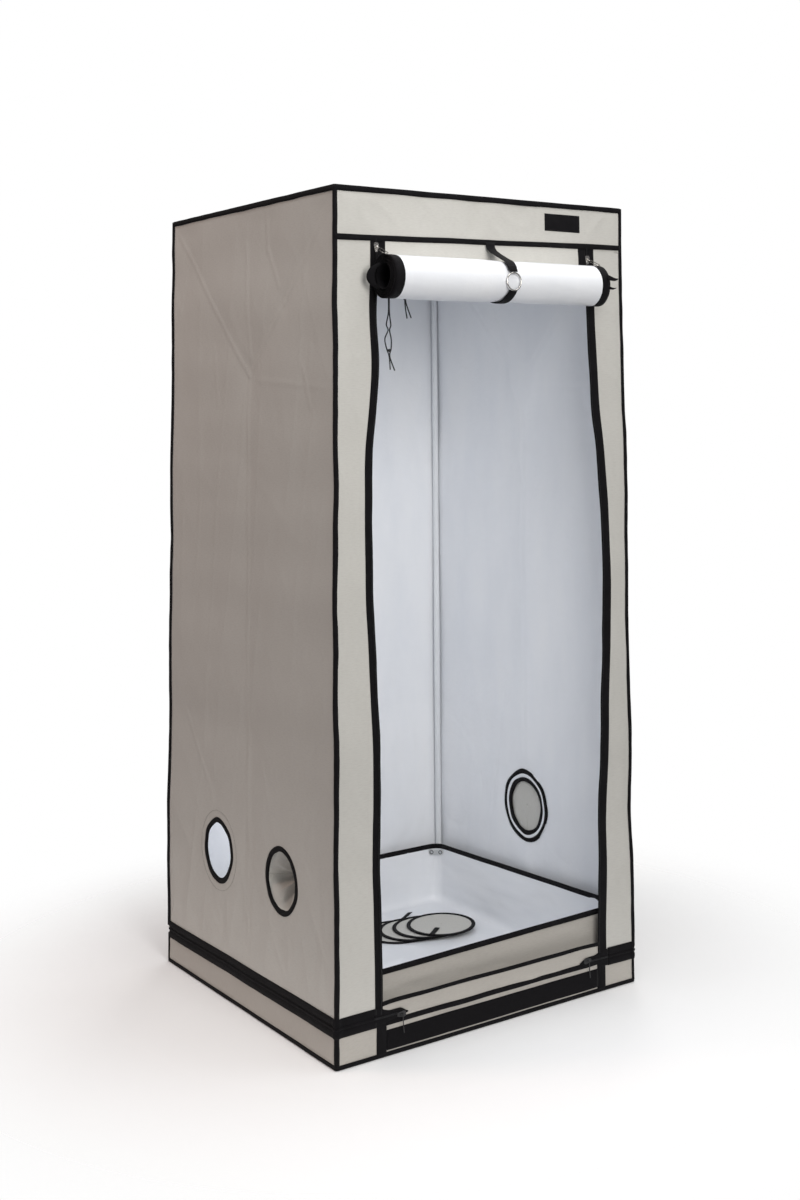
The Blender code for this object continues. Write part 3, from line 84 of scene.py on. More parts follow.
# Cloth, and the widths of the tapes over its edges
FABRIC = 0.0009
BINDING = 0.0011
FRONT_LEG = 0.009
SIDE_LEG = 0.0075
REAR_LEG = 0.0125
TOP_LEG = 0.0125
BASE_LEG = 0.009
HEADER_BAND = 0.0125
POST_BAND = 0.024
SILL_HEIGHT = 0.0665
STRIP_LOW, STRIP_HIGH = 0.0122, 0.0525
LABEL = vec(0.2175, 1.7535)
LABEL_SIZE = vec(0.104, 0.0405)
HOLE_SNAP = 0.0042

# Port rings and their seams
PORT_RADIUS = 0.06
PORT_RING = 0.0715
PORT_SEAM = 0.088
PORT_HEIGHT = 0.318
LEFT_REAR_PORT = vec(0.13, PORT_HEIGHT)
LEFT_FRONT_PORT = vec(-0.169, PORT_HEIGHT)
RIGHT_PORT = vec(0.005, PORT_HEIGHT)
PORTS_AT = {False: [LEFT_REAR_PORT, LEFT_FRONT_PORT], True: [RIGHT_PORT]}
ROOF_PORT = vec(-0.128, -0.22)
ROOF_BORE = 0.07
ROOF_RING = 0.08

# Doorway edges, as in the part's source: (share of the height, slack share)
DOOR_SLACK = 0.02
DOOR_TAPE_LAP = 0.004
LEFT_EDGE_SHARES = [
    (0.04, 0.2), (0.07, 0.2), (0.18, 0.0), (0.29, 0.05), (0.4, -0.15), (0.51, -0.6),
    (0.59, -0.76), (0.67, -0.8), (0.77, 0.0), (0.84, -0.1), (0.94, 0.0),
]
RIGHT_EDGE_SHARES = [
    (0.04, -0.05), (0.07, -0.05), (0.12, 0.1), (0.24, 0.55), (0.36, 0.95), (0.48, 1.55),
    (0.61, 1.25), (0.74, 0.3), (0.85, -0.1), (0.94, -0.2),
]

# Drawstrings of the roof sleeve, as in the part's source, from the centre of the tent's top
CORD_DIAMETER = 0.003
LONG_CORDS = [
    (-0.1407, -0.2184, -0.131), (-0.1423, -0.2184, -0.14), (-0.1448, -0.2184, -0.151),
    (-0.1502, -0.2184, -0.18), (-0.15, -0.2184, -0.22), (-0.1503, -0.2184, -0.256),
    (-0.156, -0.2184, -0.283), (-0.1512, -0.2184, -0.296), (-0.1604, -0.2186, -0.316),
    (-0.156, -0.219, -0.338), (-0.1492, -0.219, -0.356), (-0.1462, -0.2186, -0.386),
], [
    (-0.1407, -0.2216, -0.131), (-0.1423, -0.2216, -0.14), (-0.1448, -0.2216, -0.151),
    (-0.1502, -0.2216, -0.18), (-0.15, -0.2216, -0.22), (-0.1498, -0.2216, -0.256),
    (-0.146, -0.2216, -0.284), (-0.1494, -0.2216, -0.296), (-0.1448, -0.2214, -0.318),
    (-0.1452, -0.2212, -0.338), (-0.1488, -0.221, -0.356), (-0.1362, -0.2214, -0.388),
]
SHORT_CORDS = [
    (-0.1133, -0.2184, -0.131), (-0.1114, -0.2184, -0.14), (-0.1085, -0.2184, -0.151),
    (-0.1052, -0.2186, -0.19), (-0.106, -0.219, -0.222), (-0.104, -0.2186, -0.244),
    (-0.0996, -0.2184, -0.268),
], [
    (-0.1133, -0.2216, -0.131), (-0.1114, -0.2216, -0.14), (-0.1085, -0.2216, -0.151),
    (-0.1052, -0.2214, -0.19), (-0.106, -0.221, -0.222), (-0.1, -0.2214, -0.244),
    (-0.0904, -0.2216, -0.267),
]
LONG_KNOT_SHARE = 0.845
SHORT_KNOT_SHARE = 0.655

CORNERS = ((-1, -1, "front_left"), (-1, 1, "rear_left"), (1, -1, "front_right"), (1, 1, "rear_right"))


# Camera, light and floor


def add_object(name, data):
    made = bpy.data.objects.new(name, data)
    bpy.context.scene.collection.objects.link(made)
    return made


def add_camera():
    azimuth, tilt, roll = (radians(angle) for angle in CAMERA_ANGLES)
    forward = vec(-sin(azimuth) * cos(tilt), cos(azimuth) * cos(tilt), -sin(tilt))
    level = vec(cos(azimuth), sin(azimuth), 0)
    upright = level.cross(forward)
    right = cos(roll) * level + sin(roll) * upright
    up = cos(roll) * upright - sin(roll) * level
    camera = add_object("camera", bpy.data.cameras.new("camera"))
    camera.data.lens = LENS
    camera.data.sensor_width = 36
    camera.data.shift_x, camera.data.shift_y = CAMERA_SHIFT
    turn = Matrix((right, up, -forward)).transposed().to_4x4()
    camera.matrix_world = Matrix.Translation(CAMERA_PLACE) @ turn
    bpy.context.scene.camera = camera


def area_light(name, place, target, size, power, colour, spread=pi):
    data = bpy.data.lights.new(name, "AREA")
    data.shape = "RECTANGLE"
    data.size, data.size_y = size
    data.energy = power
    data.color = colour
    data.spread = spread
    light = add_object(name, data)
    light.location = place
    light.rotation_euler = (Vector(target) - Vector(place)).to_track_quat("-Z", "Y").to_euler()
    light.visible_camera = False


def plug(tree, socket, value):
    """Links an output to a socket, or sets the socket's value."""
    if isinstance(value, bpy.types.NodeSocket):
        tree.links.new(value, socket)
    elif socket.type == "RGBA":
        socket.default_value = (*value[:3], 1)
    else:
        socket.default_value = value


def add_node(tree, kind, output=0, **values):
    """An output of a new node, with its settings, and its sockets filled by name or as i and a number."""
    made = tree.nodes.new("ShaderNode" + kind)
    for name, value in values.items():
        if hasattr(made, name):
            setattr(made, name, value)
        else:
            plug(tree, made.inputs[int(name[1:]) if name[1:].isdigit() else name.replace("_", " ")], value)
    return made.outputs[output]


def add_lights():
    world = bpy.data.worlds.new("studio")
    world.use_nodes = True
    tree = world.node_tree
    dim = tree.nodes["Background"]
    plug(tree, dim.inputs["Color"], (0.97, 0.97, 1.0))
    plug(tree, dim.inputs["Strength"], 0.19)
    backdrop = add_node(tree, "Background", Color=(1, 1, 1), Strength=1.0)
    seen = add_node(tree, "LightPath", "Is Camera Ray")
    choice = add_node(tree, "MixShader", i0=seen, i1=dim.outputs[0], i2=backdrop)
    tree.links.new(choice, tree.nodes["World Output"].inputs["Surface"])
    bpy.context.scene.world = world
    area_light("key", (-0.6, -2.9, 1.9), (0, -0.4, 1.0), (1.2, 1.6), 48, (1.0, 0.985, 0.96))
    area_light("side_fill", (-3.6, 1.9, 3.0), (-0.4, 0, 1.0), (1.2, 1.2), 37, (1.0, 0.7, 0.57))
    area_light("rear_fill", (3.0, 3.2, 2.6), (0.2, 0.2, 1.0), (1.6, 1.6), 26, (1.0, 0.97, 0.94))
    area_light("overhead", (0, -0.6, 4.4), (0, -0.2, 0), (3.6, 3.6), 120, (1.0, 1.0, 1.0))
    area_light("inside_fill", (-0.34, -0.02, 0.95), (0.4, -0.02, 0.95), (0.5, 1.2), 1.2, (0.93, 0.96, 1.0))
    place, target = (-0.15, -0.1, 0.5), (-0.27, 0.4, 0.25)
    area_light("corner_fill", place, target, (0.15, 0.15), 0.16, (0.93, 0.95, 1.0), spread=1.2)


def add_floor():
    """A wide round floor, just under the tent."""
    bm = bmesh.new()
    bmesh.ops.create_circle(bm, cap_ends=True, segments=96, radius=26)
    mesh = bpy.data.meshes.new("floor")
    bm.to_mesh(mesh)
    bm.free()
    mesh.materials.append(FLOOR)
    floor = add_object("floor", mesh)
    floor.location.z = -0.0008


# Materials


class Look:
    """A material in the making, whose textures follow one source of coordinates."""

    def __init__(self, name, roughness, source="Object", **sockets):
        self.material = bpy.data.materials.new(name)
        self.material.use_nodes = True
        self.tree = self.material.node_tree
        self.source = source
        self.fill(Roughness=roughness, **sockets)

    def fill(self, **sockets):
        """Sets or links the shader's own sockets."""
        for name, value in sockets.items():
            plug(self.tree, self.tree.nodes["Principled BSDF"].inputs[name.replace("_", " ")], value)

    def node(self, kind, output=0, **values):
        return add_node(self.tree, kind, output, **values)

    def place(self, stretch=(1, 1, 1)):
        return self.node("Mapping", Scale=stretch, Vector=self.node("TexCoord", self.source))

    def noise(self, scale, detail, rough, stretch=(1, 1, 1)):
        where = self.place(stretch)
        return self.node("TexNoise", "Fac", Scale=scale, Detail=detail, Roughness=rough, Vector=where)

    def threads(self, direction, pitch, wobble=0.6):
        """Parallel threads at a real pitch."""
        scale = pi / 10 / pitch
        values = {"bands_direction": direction, "Scale": scale, "Distortion": wobble, "Detail": 1}
        return self.node("TexWave", "Fac", Vector=self.place(), **values)

    def weave(self, operation, *pitches, wobble=0.6):
        """Threads both ways."""
        first, second = (self.threads(*pair, wobble) for pair in zip("XY", pitches))
        return self.node("Math", operation=operation, i0=first, i1=second)

    def spread(self, value, low, high):
        """A value from 0 to 1 spread from low to high."""
        return self.node("MapRange", To_Min=low, To_Max=high, Value=value)

    def share(self, value, start, end, most):
        """A share that rises from 0 to most as the value goes from start to end."""
        limits = {"From_Min": start, "From_Max": end, "To_Max": most}
        return self.node("MapRange", interpolation_type="SMOOTHSTEP", Value=value, **limits)

    def ramp(self, value, *stops):
        """Colours along a value, each stop a place and a colour."""
        ramp = self.tree.nodes.new("ShaderNodeValToRGB")
        elements = ramp.color_ramp.elements
        while len(elements) < len(stops):
            elements.new(0.5)
        for element, (place, colour) in zip(elements, stops):
            element.position = place
            element.color = (*colour, 1)
        plug(self.tree, ramp.inputs[0], value)
        return ramp.outputs[0]

    def mix(self, factor, first, second, blend="MIX"):
        return self.node("Mix", 2, data_type="RGBA", blend_type=blend, i0=factor, i6=first, i7=second)

    def relief(self, *layers):
        """Ends the material with its relief, each layer a height, a strength and a distance."""
        below = {}
        for height, strength, distance in layers:
            last = self.node("Bump", Strength=strength, Distance=distance, Height=height, **below)
            below = {"Normal": last}
        self.fill(**below)
        return self.material


def beige_cloth(name, shade=(1, 1, 1)):
    """Coated oxford cloth: a plain weave of slubby threads, a little mottled, with faint scuffs. shade scales its
    colours; below 1 it is painted shade.
    """
    look = Look(name, 0.86, "UV", Sheen_Weight=0.12, Sheen_Roughness=0.6)
    slubs = look.noise(1, 3, 0.6, (90, 420, 300))
    patches = look.noise(9, 4, 0.55)
    scuffs = look.noise(38, 5, 0.7, (1, 0.35, 1))
    stops = ((0.15, (0.52, 0.505, 0.475)), (0.5, (0.575, 0.565, 0.53)), (0.9, (0.615, 0.605, 0.57)))
    base = look.ramp(slubs, *((at, [c * s for c, s in zip(colour, shade)]) for at, colour in stops))
    worn = look.mix(look.spread(patches, 0, 0.28), base, (0.9, 0.88, 0.85), "MULTIPLY")
    marked = look.mix(look.share(scuffs, 0.66, 0.78, 0.1), worn, (0.7, 0.69, 0.66))
    look.fill(Base_Color=marked, Roughness=look.spread(slubs, 0.78, 0.94))
    weave = look.weave("MULTIPLY", 0.0011, 0.0013)
    return look.relief((weave, 0.2, 0.0003), (slubs, 0.1, 0.0004), (patches, 0.12, 0.002))


def white_cloth(name, roughness, gloss, wrinkle):
    """The white coated side of the cloth, with the faint relief of the weave behind it."""
    look = Look(name, roughness, "UV", Coat_Weight=gloss, Coat_Roughness=0.18)
    smears = look.noise(7, 4, 0.6, (1, 0.3, 1))
    stops = ((0.3, (0.835, 0.855, 0.895)), (0.55, (0.88, 0.895, 0.925)), (0.75, (0.905, 0.915, 0.935)))
    look.fill(Base_Color=look.ramp(smears, *stops))
    look.fill(Roughness=look.spread(smears, roughness - 0.03, roughness + 0.07))
    weave = look.weave("MULTIPLY", 0.0016, 0.0016)
    return look.relief((weave, 0.1, 0.0002), (look.noise(26, 4, 0.55), wrinkle, 0.004))


BLACK = (0.0042, 0.0038, 0.0046)
BLACK_WORN = (0.0085, 0.0078, 0.0092)


def black_tape(name, pitch, shine=0.8):
    """Woven edge tape with cross ribs and a few pale fibres."""
    look = Look(name, shine, "UV", Sheen_Weight=0.03, Specular_IOR_Level=0.1)
    worn = look.noise(30, 3, 0.6)
    lint = look.share(look.noise(1, 3, 0.7, (60, 500, 200)), 0.68, 0.8, 0.15)
    base = look.ramp(worn, (0.3, BLACK), (0.7, BLACK_WORN))
    look.fill(Base_Color=look.mix(lint, base, (0.075, 0.075, 0.08)))
    look.fill(Roughness=look.spread(worn, shine - 0.1, min(1.0, shine + 0.12)))
    return look.relief((look.weave("ADD", pitch, pitch * 1.4, wobble=0.3), 0.5, 0.0004), (worn, 0.3, 0.001))


def plain_look(name, roughness, spots, shades, relief, gloss=None, source="Object", **sockets):
    """A material in two shades by noise. gloss spreads its roughness, relief(look, spots) gives layers."""
    look = Look(name, roughness, source, **sockets)
    spots = look.noise(*spots)
    look.fill(Base_Color=look.ramp(spots, *shades))
    if gloss:
        look.fill(Roughness=look.spread(spots, *gloss))
    return look.relief(*relief(look, spots))


def pile_relief(look, fluff):
    cells = look.node("TexVoronoi", "Distance", Scale=900, Vector=look.place())
    return (cells, 0.7, 0.0006), (fluff, 0.5, 0.0008)


def polished(look, spots):
    """Faint polishing marks, which spread the roughness too."""
    marks = look.noise(1, 3, 0.6, (40, 40, 900))
    look.fill(Roughness=look.spread(marks, 0.14, 0.34))
    return [(marks, 0.2, 0.0002)]


def moulded_plastic(name, dark, light, roughness, transmission=0.0):
    return plain_look(
        name, roughness, (60, 4, 0.6), ((0.3, dark), (0.75, light)),
        lambda look, worn: [(look.noise(900, 2, 0.6), 0.25, 0.0003)],
        (roughness - 0.1, roughness + 0.15), Transmission_Weight=transmission,
    )


def studio_floor():
    """Pale floor that fades into the white backdrop a few metres from the tent."""
    look = Look("studio_floor", 0.7, Emission_Color=(1, 1, 1), Emission_Strength=0.08)
    reach = look.node("VectorMath", "Value", operation="LENGTH", i0=look.place())
    limits = {"From_Min": 0.56, "From_Max": 1.3, "To_Min": 1.0, "To_Max": 0.0}
    look.fill(
        Base_Color=look.ramp(look.noise(0.6, 3, 0.5), (0.3, (0.9, 0.9, 0.905)), (0.7, (0.93, 0.93, 0.935))),
        Alpha=look.node("MapRange", interpolation_type="SMOOTHSTEP", Value=reach, **limits),
    )
    return look.material


OUTSIDE = beige_cloth("beige_oxford")
# The tub's cloth is the same beige darkened and warmed: painted shade for the dimmer light near the floor, on the
# tub, the lip and the tray's outside.
TUB_CLOTH_PAINTED_SHADE = beige_cloth("beige_tub_cloth_painted_shade", (0.82, 0.79, 0.77))
INSIDE = white_cloth("white_lining", 0.42, 0.15, 0.35)
GLOSSY = white_cloth("white_glossy", 0.3, 0.45, 0.22)
TAPE = black_tape("black_binding", 0.001)
WEBBING = black_tape("black_webbing", 0.0016, shine=0.7)
PILE = plain_look(
    "hook_pile", 0.95, (240, 4, 0.8), ((0.35, BLACK), (0.8, BLACK_WORN)), pile_relief,
    source="UV", Sheen_Weight=0.05, Specular_IOR_Level=0.1,
)
COIL = plain_look(
    "zip_coil", 0.42, (160, 3, 0.6), ((0.3, (0.01, 0.01, 0.011)), (0.8, (0.03, 0.03, 0.032))),
    lambda look, worn: [(worn, 0.3, 0.0003)], (0.3, 0.6), Specular_IOR_Level=0.2,
)
STEEL = plain_look(
    "painted_steel", 0.35, (14, 4, 0.6, (1, 1, 0.2)), ((0.3, (0.72, 0.74, 0.77)), (0.7, (0.8, 0.82, 0.84))),
    lambda look, dust: [(look.noise(700, 2, 0.5), 0.15, 0.0004)], (0.28, 0.45),
    Coat_Weight=0.3, Coat_Roughness=0.2,
)
METAL = plain_look(
    "nickel_plate", 0.22, (220, 3, 0.6), ((0.3, (0.5, 0.47, 0.44)), (0.6, (0.78, 0.76, 0.73))),
    polished, Metallic=1.0,
)
BRAID = plain_look(
    "braided_cord", 0.8, (800, 3, 0.7), ((0.3, BLACK), (0.8, BLACK_WORN)),
    lambda look, fluff: [(look.threads("DIAGONAL", 0.0012, 0.2), 0.8, 0.0005), (fluff, 0.3, 0.0003)],
    Sheen_Weight=0.3,
)
THREAD = plain_look(
    "sewing_thread", 0.8, (1500, 2, 0.5), ((0.3, (0.16, 0.155, 0.145)), (0.7, (0.3, 0.29, 0.27))),
    lambda look, twist: [(twist, 0.3, 0.0003)], Sheen_Weight=0.2,
)
PLASTIC = moulded_plastic("corner_plastic", (0.012, 0.012, 0.013), (0.03, 0.03, 0.031), 0.45)
CLEAR = moulded_plastic("clear_plastic", (0.74, 0.76, 0.77), (0.86, 0.88, 0.88), 0.3, 0.55)
EYELET = moulded_plastic("eyelet_rubber", (0.05, 0.05, 0.055), (0.11, 0.11, 0.12), 0.55)
FLOOR = studio_floor()

SLOTS = {
    "beige_fabric": (OUTSIDE, TUB_CLOTH_PAINTED_SHADE, THREAD), "white_fabric": (INSIDE, GLOSSY, CLEAR),
    "black_binding": (TAPE, WEBBING, PILE, COIL), "nickel": (METAL, EYELET), "black_cord": (BRAID,),
}


# Meshes


def wave(seed, x, y=0.0, z=0.0):
    """Smooth noise from about -1 to 1, the same on every run."""
    return noise.noise(vec(x + 17.3 * seed, y - 9.1 * seed, z + 5.7 * seed))


def crinkle(seed, x, y):
    """Sharp little folds, from 0 to 1 along their lines."""
    return max(0.0, 1 - 5 * abs(wave(seed, x, y))) ** 2


def turned(angle, scale=1.0):
    return scale * cos(angle), scale * sin(angle)


def clamp(value, low, high):
    return max(low, min(high, value))


def ease(value, low, high):
    """A smooth step from 0 at low to 1 at high."""
    share = clamp((value - low) / (high - low), 0.0, 1.0)
    return share * share * (3 - 2 * share)


def spread(start, end, count):
    return [start + (end - start) * k / (count - 1) for k in range(count)]


def smooth_through(points, steps):
    """Points on a Catmull-Rom curve through the given ones."""
    points = [Vector(p) for p in points]
    ends = [2 * points[0] - points[1], *points, 2 * points[-1] - points[-2]]
    made = []
    for i in range(1, len(ends) - 2):
        a, b, c, d = ends[i - 1 : i + 3]
        for k in range(steps):
            t = k / steps
            bend = (2 * a - 5 * b + 4 * c - d) * t**2 + (3 * b - a - 3 * c + d) * t**3
            made.append((2 * b + (c - a) * t + bend) / 2)
    return [*made, points[-1]]


def grid(rows, count, closed=True):
    """The faces between rows of points."""
    for row in range(rows - 1):
        for i in range(count if closed else count - 1):
            j = (i + 1) % count
            yield row * count + i, row * count + j, (row + 1) * count + j, (row + 1) * count + i


def fix(piece, node, body="tent", slot=""):
    """Fixes a piece to a body, where one is given, and hides the CAD node that it stands for."""
    if body:
        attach(piece, body)
    outer = piece.data.materials[0]
    slot or next(slot for slot, members in SLOTS.items() if outer in members)
    if node:
        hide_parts(node)
    return piece


def make_piece(name, node, points, faces, materials, corner_uvs, picks=None, outward=None, **fixing):
    """A mesh piece with its flat sizes as its map.

    Its faces point along outward where that is given, and otherwise away from the inside.
    """
    mesh = bpy.data.meshes.new(name)
    mesh.from_pydata([tuple(p or (0, 0, 0)) for p in points], [], faces)
    for material in materials:
        mesh.materials.append(material)
    mesh.uv_layers.new(name="Flat").data.foreach_set("uv", [value for pair in corner_uvs for value in pair])
    if picks is not None:
        mesh.polygons.foreach_set("material_index", picks)
    mesh.polygons.foreach_set("use_smooth", [True] * len(mesh.polygons))
    bm = bmesh.new()
    bm.from_mesh(mesh)
    bmesh.ops.delete(bm, geom=[v for v in bm.verts if not v.link_faces], context="VERTS")
    if outward is None:
        bmesh.ops.recalc_face_normals(bm, faces=bm.faces)
    elif sum((f.normal for f in bm.faces), Vector()).dot(Vector(outward)) < 0:
        bmesh.ops.reverse_faces(bm, faces=bm.faces)
    bm.to_mesh(mesh)
    bm.free()
    return fix(add_object(name, mesh), node, **fixing)


def thicken(sheet, thickness):
    """Gives a sheet its thickness behind its face, with the next material on its back."""
    modifier = sheet.modifiers.new("Thickness", "SOLIDIFY")
    modifier.thickness = thickness
    modifier.offset = -1
    modifier.use_even_offset = False
    modifier.material_offset = 1


def cloth(
    name, node, cells, place, size, outward, held="", area=None, materials=(OUTSIDE, INSIDE),
    thickness=FABRIC, pick=None, **fixing,
):
    """A sheet of cloth from a formula, thickened towards its back, which shows the second material.

    place(u, v) gives a point of its outer face, or None inside a hole. size is its flat size.
    """
    columns, rows = cells
    spots = [(column / columns, row / rows) for row in range(rows + 1) for column in range(columns + 1)]
    points = [place(u, v) for u, v in spots]
    faces, picks = [], []
    for number, corners in enumerate(grid(rows + 1, columns + 1, closed=False)):
        if all(points[i] is not None for i in corners):
            row, column = divmod(number, columns)
            faces.append(corners)
            picks.append(pick((column + 0.5) / columns, (row + 0.5) / rows) if pick else 0)
    uvs = [(spots[i][0] * size[0], spots[i][1] * size[1]) for face in faces for i in face]
    sheet = make_piece(name, node, points, faces, materials, uvs, picks, outward, **fixing)
    thicken(sheet, thickness)
    return sheet


def sweep(name, node, rings, material, closed=False, **fixing):
    """Skins rings of points into a closed tape or tube, mapped by its real length and girth."""
    count, total = len(rings[0]), len(rings) * len(rings[0])
    along, girths = [0.0], [0.0]
    for before, after in zip(rings, [*rings[1:], rings[0]]):
        along.append(along[-1] + (after[0] - before[0]).length)
    for i in range(count):
        girths.append(girths[-1] + (rings[0][(i + 1) % count] - rings[0][i]).length)
    rows = len(rings) + closed
    faces = [tuple(i % total for i in face) for face in grid(rows, count)]
    corner_uvs = [
        (along[k + far], girths[i + onward])
        for k in range(rows - 1) for i in range(count) for far, onward in ((0, 0), (0, 1), (1, 1), (1, 0))
    ]
    if not closed:
        faces += [tuple(range(count)), tuple(range(total - count, total))]
        corner_uvs += [(0.0, girths[i]) for i in range(count)] * 2
    points = [p for ring in rings for p in ring]
    return make_piece(name, node, points, faces, [material], corner_uvs, **fixing)


def at(value, k):
    return value(k) if callable(value) else value


def lay_tape(name, node, line, across, out, width, thick, material=TAPE, wobble=0.0004, seed=1, **fixing):
    """A tape along a line, flat at its back, with soft edges and a slight crown.

    across, out and width are values, or functions of the station's number.
    """
    rings = []
    travelled = 0.0
    for k, point in enumerate(line):
        if k:
            travelled += (point - line[k - 1]).length
        shift = wobble * wave(seed + 3, travelled * 14)
        half = (at(width, k) + 2 * wobble * wave(seed, travelled * 9)) / 2
        section = [
            (-half, 0), (-half, 0.55 * thick), (-0.86 * half, thick), (0, thick * 1.15),
            (0.86 * half, thick), (half, 0.55 * thick), (half, 0),
        ]
        side, front = Vector(at(across, k)), Vector(at(out, k))
        rings.append([point + side * (a + shift) + front * o for a, o in section])
    return sweep(name, node, rings, material, **fixing)


def front_tape(name, node, xs, height, off, width, thick, *more, **options):
    """A tape across the front, at a height for each x."""
    line = [vec(x, -CLOTH - off, height(x)) for x in xs]
    return lay_tape(name, node, line, UP, FRONT, width, thick, *more, **options)


def loop_stations(half, radius, side_steps, corner_steps=8):
    """Points round a rounded square seen from above, with their outward directions."""
    arcs = []
    for x_side, y_side, start in ((1, 1, 0), (-1, 1, 90), (-1, -1, 180), (1, -1, 270)):
        centre = vec(x_side * (half - radius), y_side * (half - radius))
        outs = [vec(*turned(radians(start + 90 * i / corner_steps))) for i in range(corner_steps + 1)]
        arcs.append([(centre + radius * out, out) for out in outs])
    stations = []
    for arc, following in zip(arcs, arcs[1:] + arcs[:1]):
        stations += arc
        for k in range(1, side_steps):
            stations.append((arc[-1][0].lerp(following[0][0], k / side_steps), arc[-1][1]))
    return stations


def loop_tape(name, node, section, radius, move, gap=None):
    """A tape round the tent, from a section of (inset, height).

    move(point, out) shifts each point, and gap is the stretch of x on the front side that stays open.
    """
    outlines = [loop_stations(EDGE - inset, max(radius - inset, 0.0004), 110) for inset, height in section]
    rings = []
    for k in range(len(outlines[0])):
        ring = []
        for (inset, height), outline in zip(section, outlines):
            place, out = outline[k]
            point = vec(*place, height)
            ring.append(point + move(point, vec(*out, 0)))
        rings.append(ring)
    if gap is None:
        return sweep(name, node, rings, TAPE, closed=True)
    on_front = [(k, place.x) for k, (place, out) in enumerate(outlines[0]) if out.y < -0.999]
    first = next(k for k, x in on_front if x >= gap[1])
    last = next(k for k, x in on_front if x > gap[0])
    return sweep(name, node, rings[first:] + rings[:last], TAPE)


def ring_band(name, node, centre, axes, section, material=TAPE, steps=96, wobble=0.0, **fixing):
    """A band turned about a port's axis, from a section of (radius, height along the last of the axes)."""
    across, up, out = axes
    rings = []
    for k in range(steps):
        x, y = turned(2 * pi * k / steps)
        ring = []
        for radius, height in section:
            swell = wave(4, 2.1 * x, 2.1 * y, 45 * radius + 9 * centre.y)
            ring.append(centre + (x * across + y * up) * radius * (1 + wobble * swell) + out * height)
        rings.append(ring)
    return sweep(name, node, rings, material, closed=True, **fixing)


def teeth(name, node, places, along, size, material=COIL, out=FRONT):
    """A row of small zip teeth in one mesh. size is (across, along, out), and each place its own middle."""
    points, faces, uvs = [], [], []
    for number, place in enumerate(places):
        run = at(along, number)
        across = run.cross(out)
        base = len(points)
        for high, shrink in ((0, 1.0), (1, 0.72)):
            for a, b in ((-1, -1), (1, -1), (1, 1), (-1, 1)):
                offset = across * (a * shrink * size[0] / 2) + run * (b * shrink * size[1] / 2)
                points.append(place + offset + out * (high * size[2]))
                uvs.append((a * size[0], b * size[1]))
        for face in ((3, 2, 1, 0), (4, 5, 6, 7), (0, 1, 5, 4), (1, 2, 6, 5), (2, 3, 7, 6), (3, 0, 4, 7)):
            faces.append(tuple(base + i for i in face))
    return make_piece(name, node, points, faces, [material], [uvs[i] for face in faces for i in face])


STITCH_LENGTH, STITCH_WIDTH, STITCH_PITCH = 0.0022, 0.0005, 0.0032


def stitches(name, node, line, out, material):
    """Single stitches along a line, each a small bead of thread."""
    places, runs = [], []
    travelled, next_one = 0.0, 0.0
    for before, after in zip(line, line[1:]):
        step = (after - before).length
        while next_one < travelled + step:
            places.append(before.lerp(after, (next_one - travelled) / step))
            runs.append((after - before).normalized())
            next_one += STITCH_PITCH
        travelled += step
    size = (STITCH_WIDTH, STITCH_LENGTH, STITCH_WIDTH * 0.8)
    return teeth(name, node, places, lambda k: runs[k], size, material, out)


# Slack and folds that neighbouring pieces share


def sway(x, y, z):
    """How far slack cloth and the tape on it move from their plane, the same for all that share a place."""

    def slack(seed, slow, fast):
        swell = 0.0062 * wave(seed, 1.3 * x, 1.3 * y, slow * z)
        swell += 0.0024 * wave(seed + 1, 2 * x, 2 * y, fast * z)
        return clamp(0.0008 + swell, -0.0028, 0.006) * ease(z, 0.1, 0.32)

    side, ahead = slack(2, 3.1, 9), slack(6, 3.3, 8)
    beside = min((vec(y, z) - port).length for port in PORTS_AT[x > 0])
    side *= (1 - ease(z, 1.68, 1.785)) * ease(beside, 0.1, 0.22)
    ahead *= 1 - ease(z, *((1.48, 1.6) if y < 0 else (1.68, 1.785)))
    return vec(x / CLOTH * side, y / CLOTH * ahead, 0)


def creases(*groups):
    """The straight creases of a wall, from groups of paths whose creases are equally deep."""
    return [
        (vec(*path[i : i + 2]), vec(*path[i + 2 : i + 4]), *depths)
        for depths, *paths in groups for path in paths for i in range(0, len(path) - 2, 2)
    ]


def wall_relief(across, height, folds, ports, seed):
    """How far a wall's cloth stands out from its plane: folding creases, slack and small wrinkles."""
    out = 0.0
    place = vec(across, height)
    for a, b, depth, fine in folds:
        share = clamp((place - a).dot(b - a) / (b - a).length_squared, 0.0, 1.0)
        distance = (place - a.lerp(b, share)).length
        if distance < 0.2:
            out += fine * exp(-((distance / 0.0055) ** 2)) - depth * exp(-distance / 0.045)
    low = 1 - ease(height, 0.12, 0.55)
    out += 0.0016 * wave(seed, 8 * across, 1.2 * height)
    out += (0.0006 + 0.0022 * low) * wave(seed + 1, 15 * across + 5 * height, 4 * height - 7 * across)
    out += (0.0006 + 0.0012 * low) * crinkle(seed + 2, 10 * across + 1.5 * height, 1.2 * height)
    out += (0.0003 + 0.001 * low) * crinkle(seed + 5, 6 * across - 4 * height, 3 * height + 2 * across)
    gather = exp(-(CLOTH_TOP - height) / 0.035) + 0.8 * exp(-(height - BAND_HIGH) / 0.05)
    out += 0.0011 * gather * wave(seed + 3, 55 * across, 6 * height)
    for centre, radius in ports:
        offset = place - centre
        distance = offset.length - radius
        if distance < 0.12:
            out *= ease(distance, 0.0, 0.07)
            pucker = wave(seed + 4, *turned(atan2(offset.y, offset.x), 3.5), 6 * offset.length)
            out += 0.0016 * pucker * exp(-max(distance, 0) / 0.035) * ease(distance, 0.004, 0.02)
    edge = min(CLOTH - abs(across), CLOTH_TOP - height, height - BAND_HIGH)
    return max(-0.0031 - 0.006 * ease(edge, 0.03, 0.1), out * ease(edge, 0.007, 0.045))


def beside_holes(place, holes):
    """A grid point, moved onto a port's edge where it is beside one, or None inside it."""
    for centre, radius in holes:
        offset = place - centre
        if offset.length < radius - HOLE_SNAP:
            return None
        if offset.length < radius + HOLE_SNAP:
            return centre + offset * (radius / offset.length)
    return place


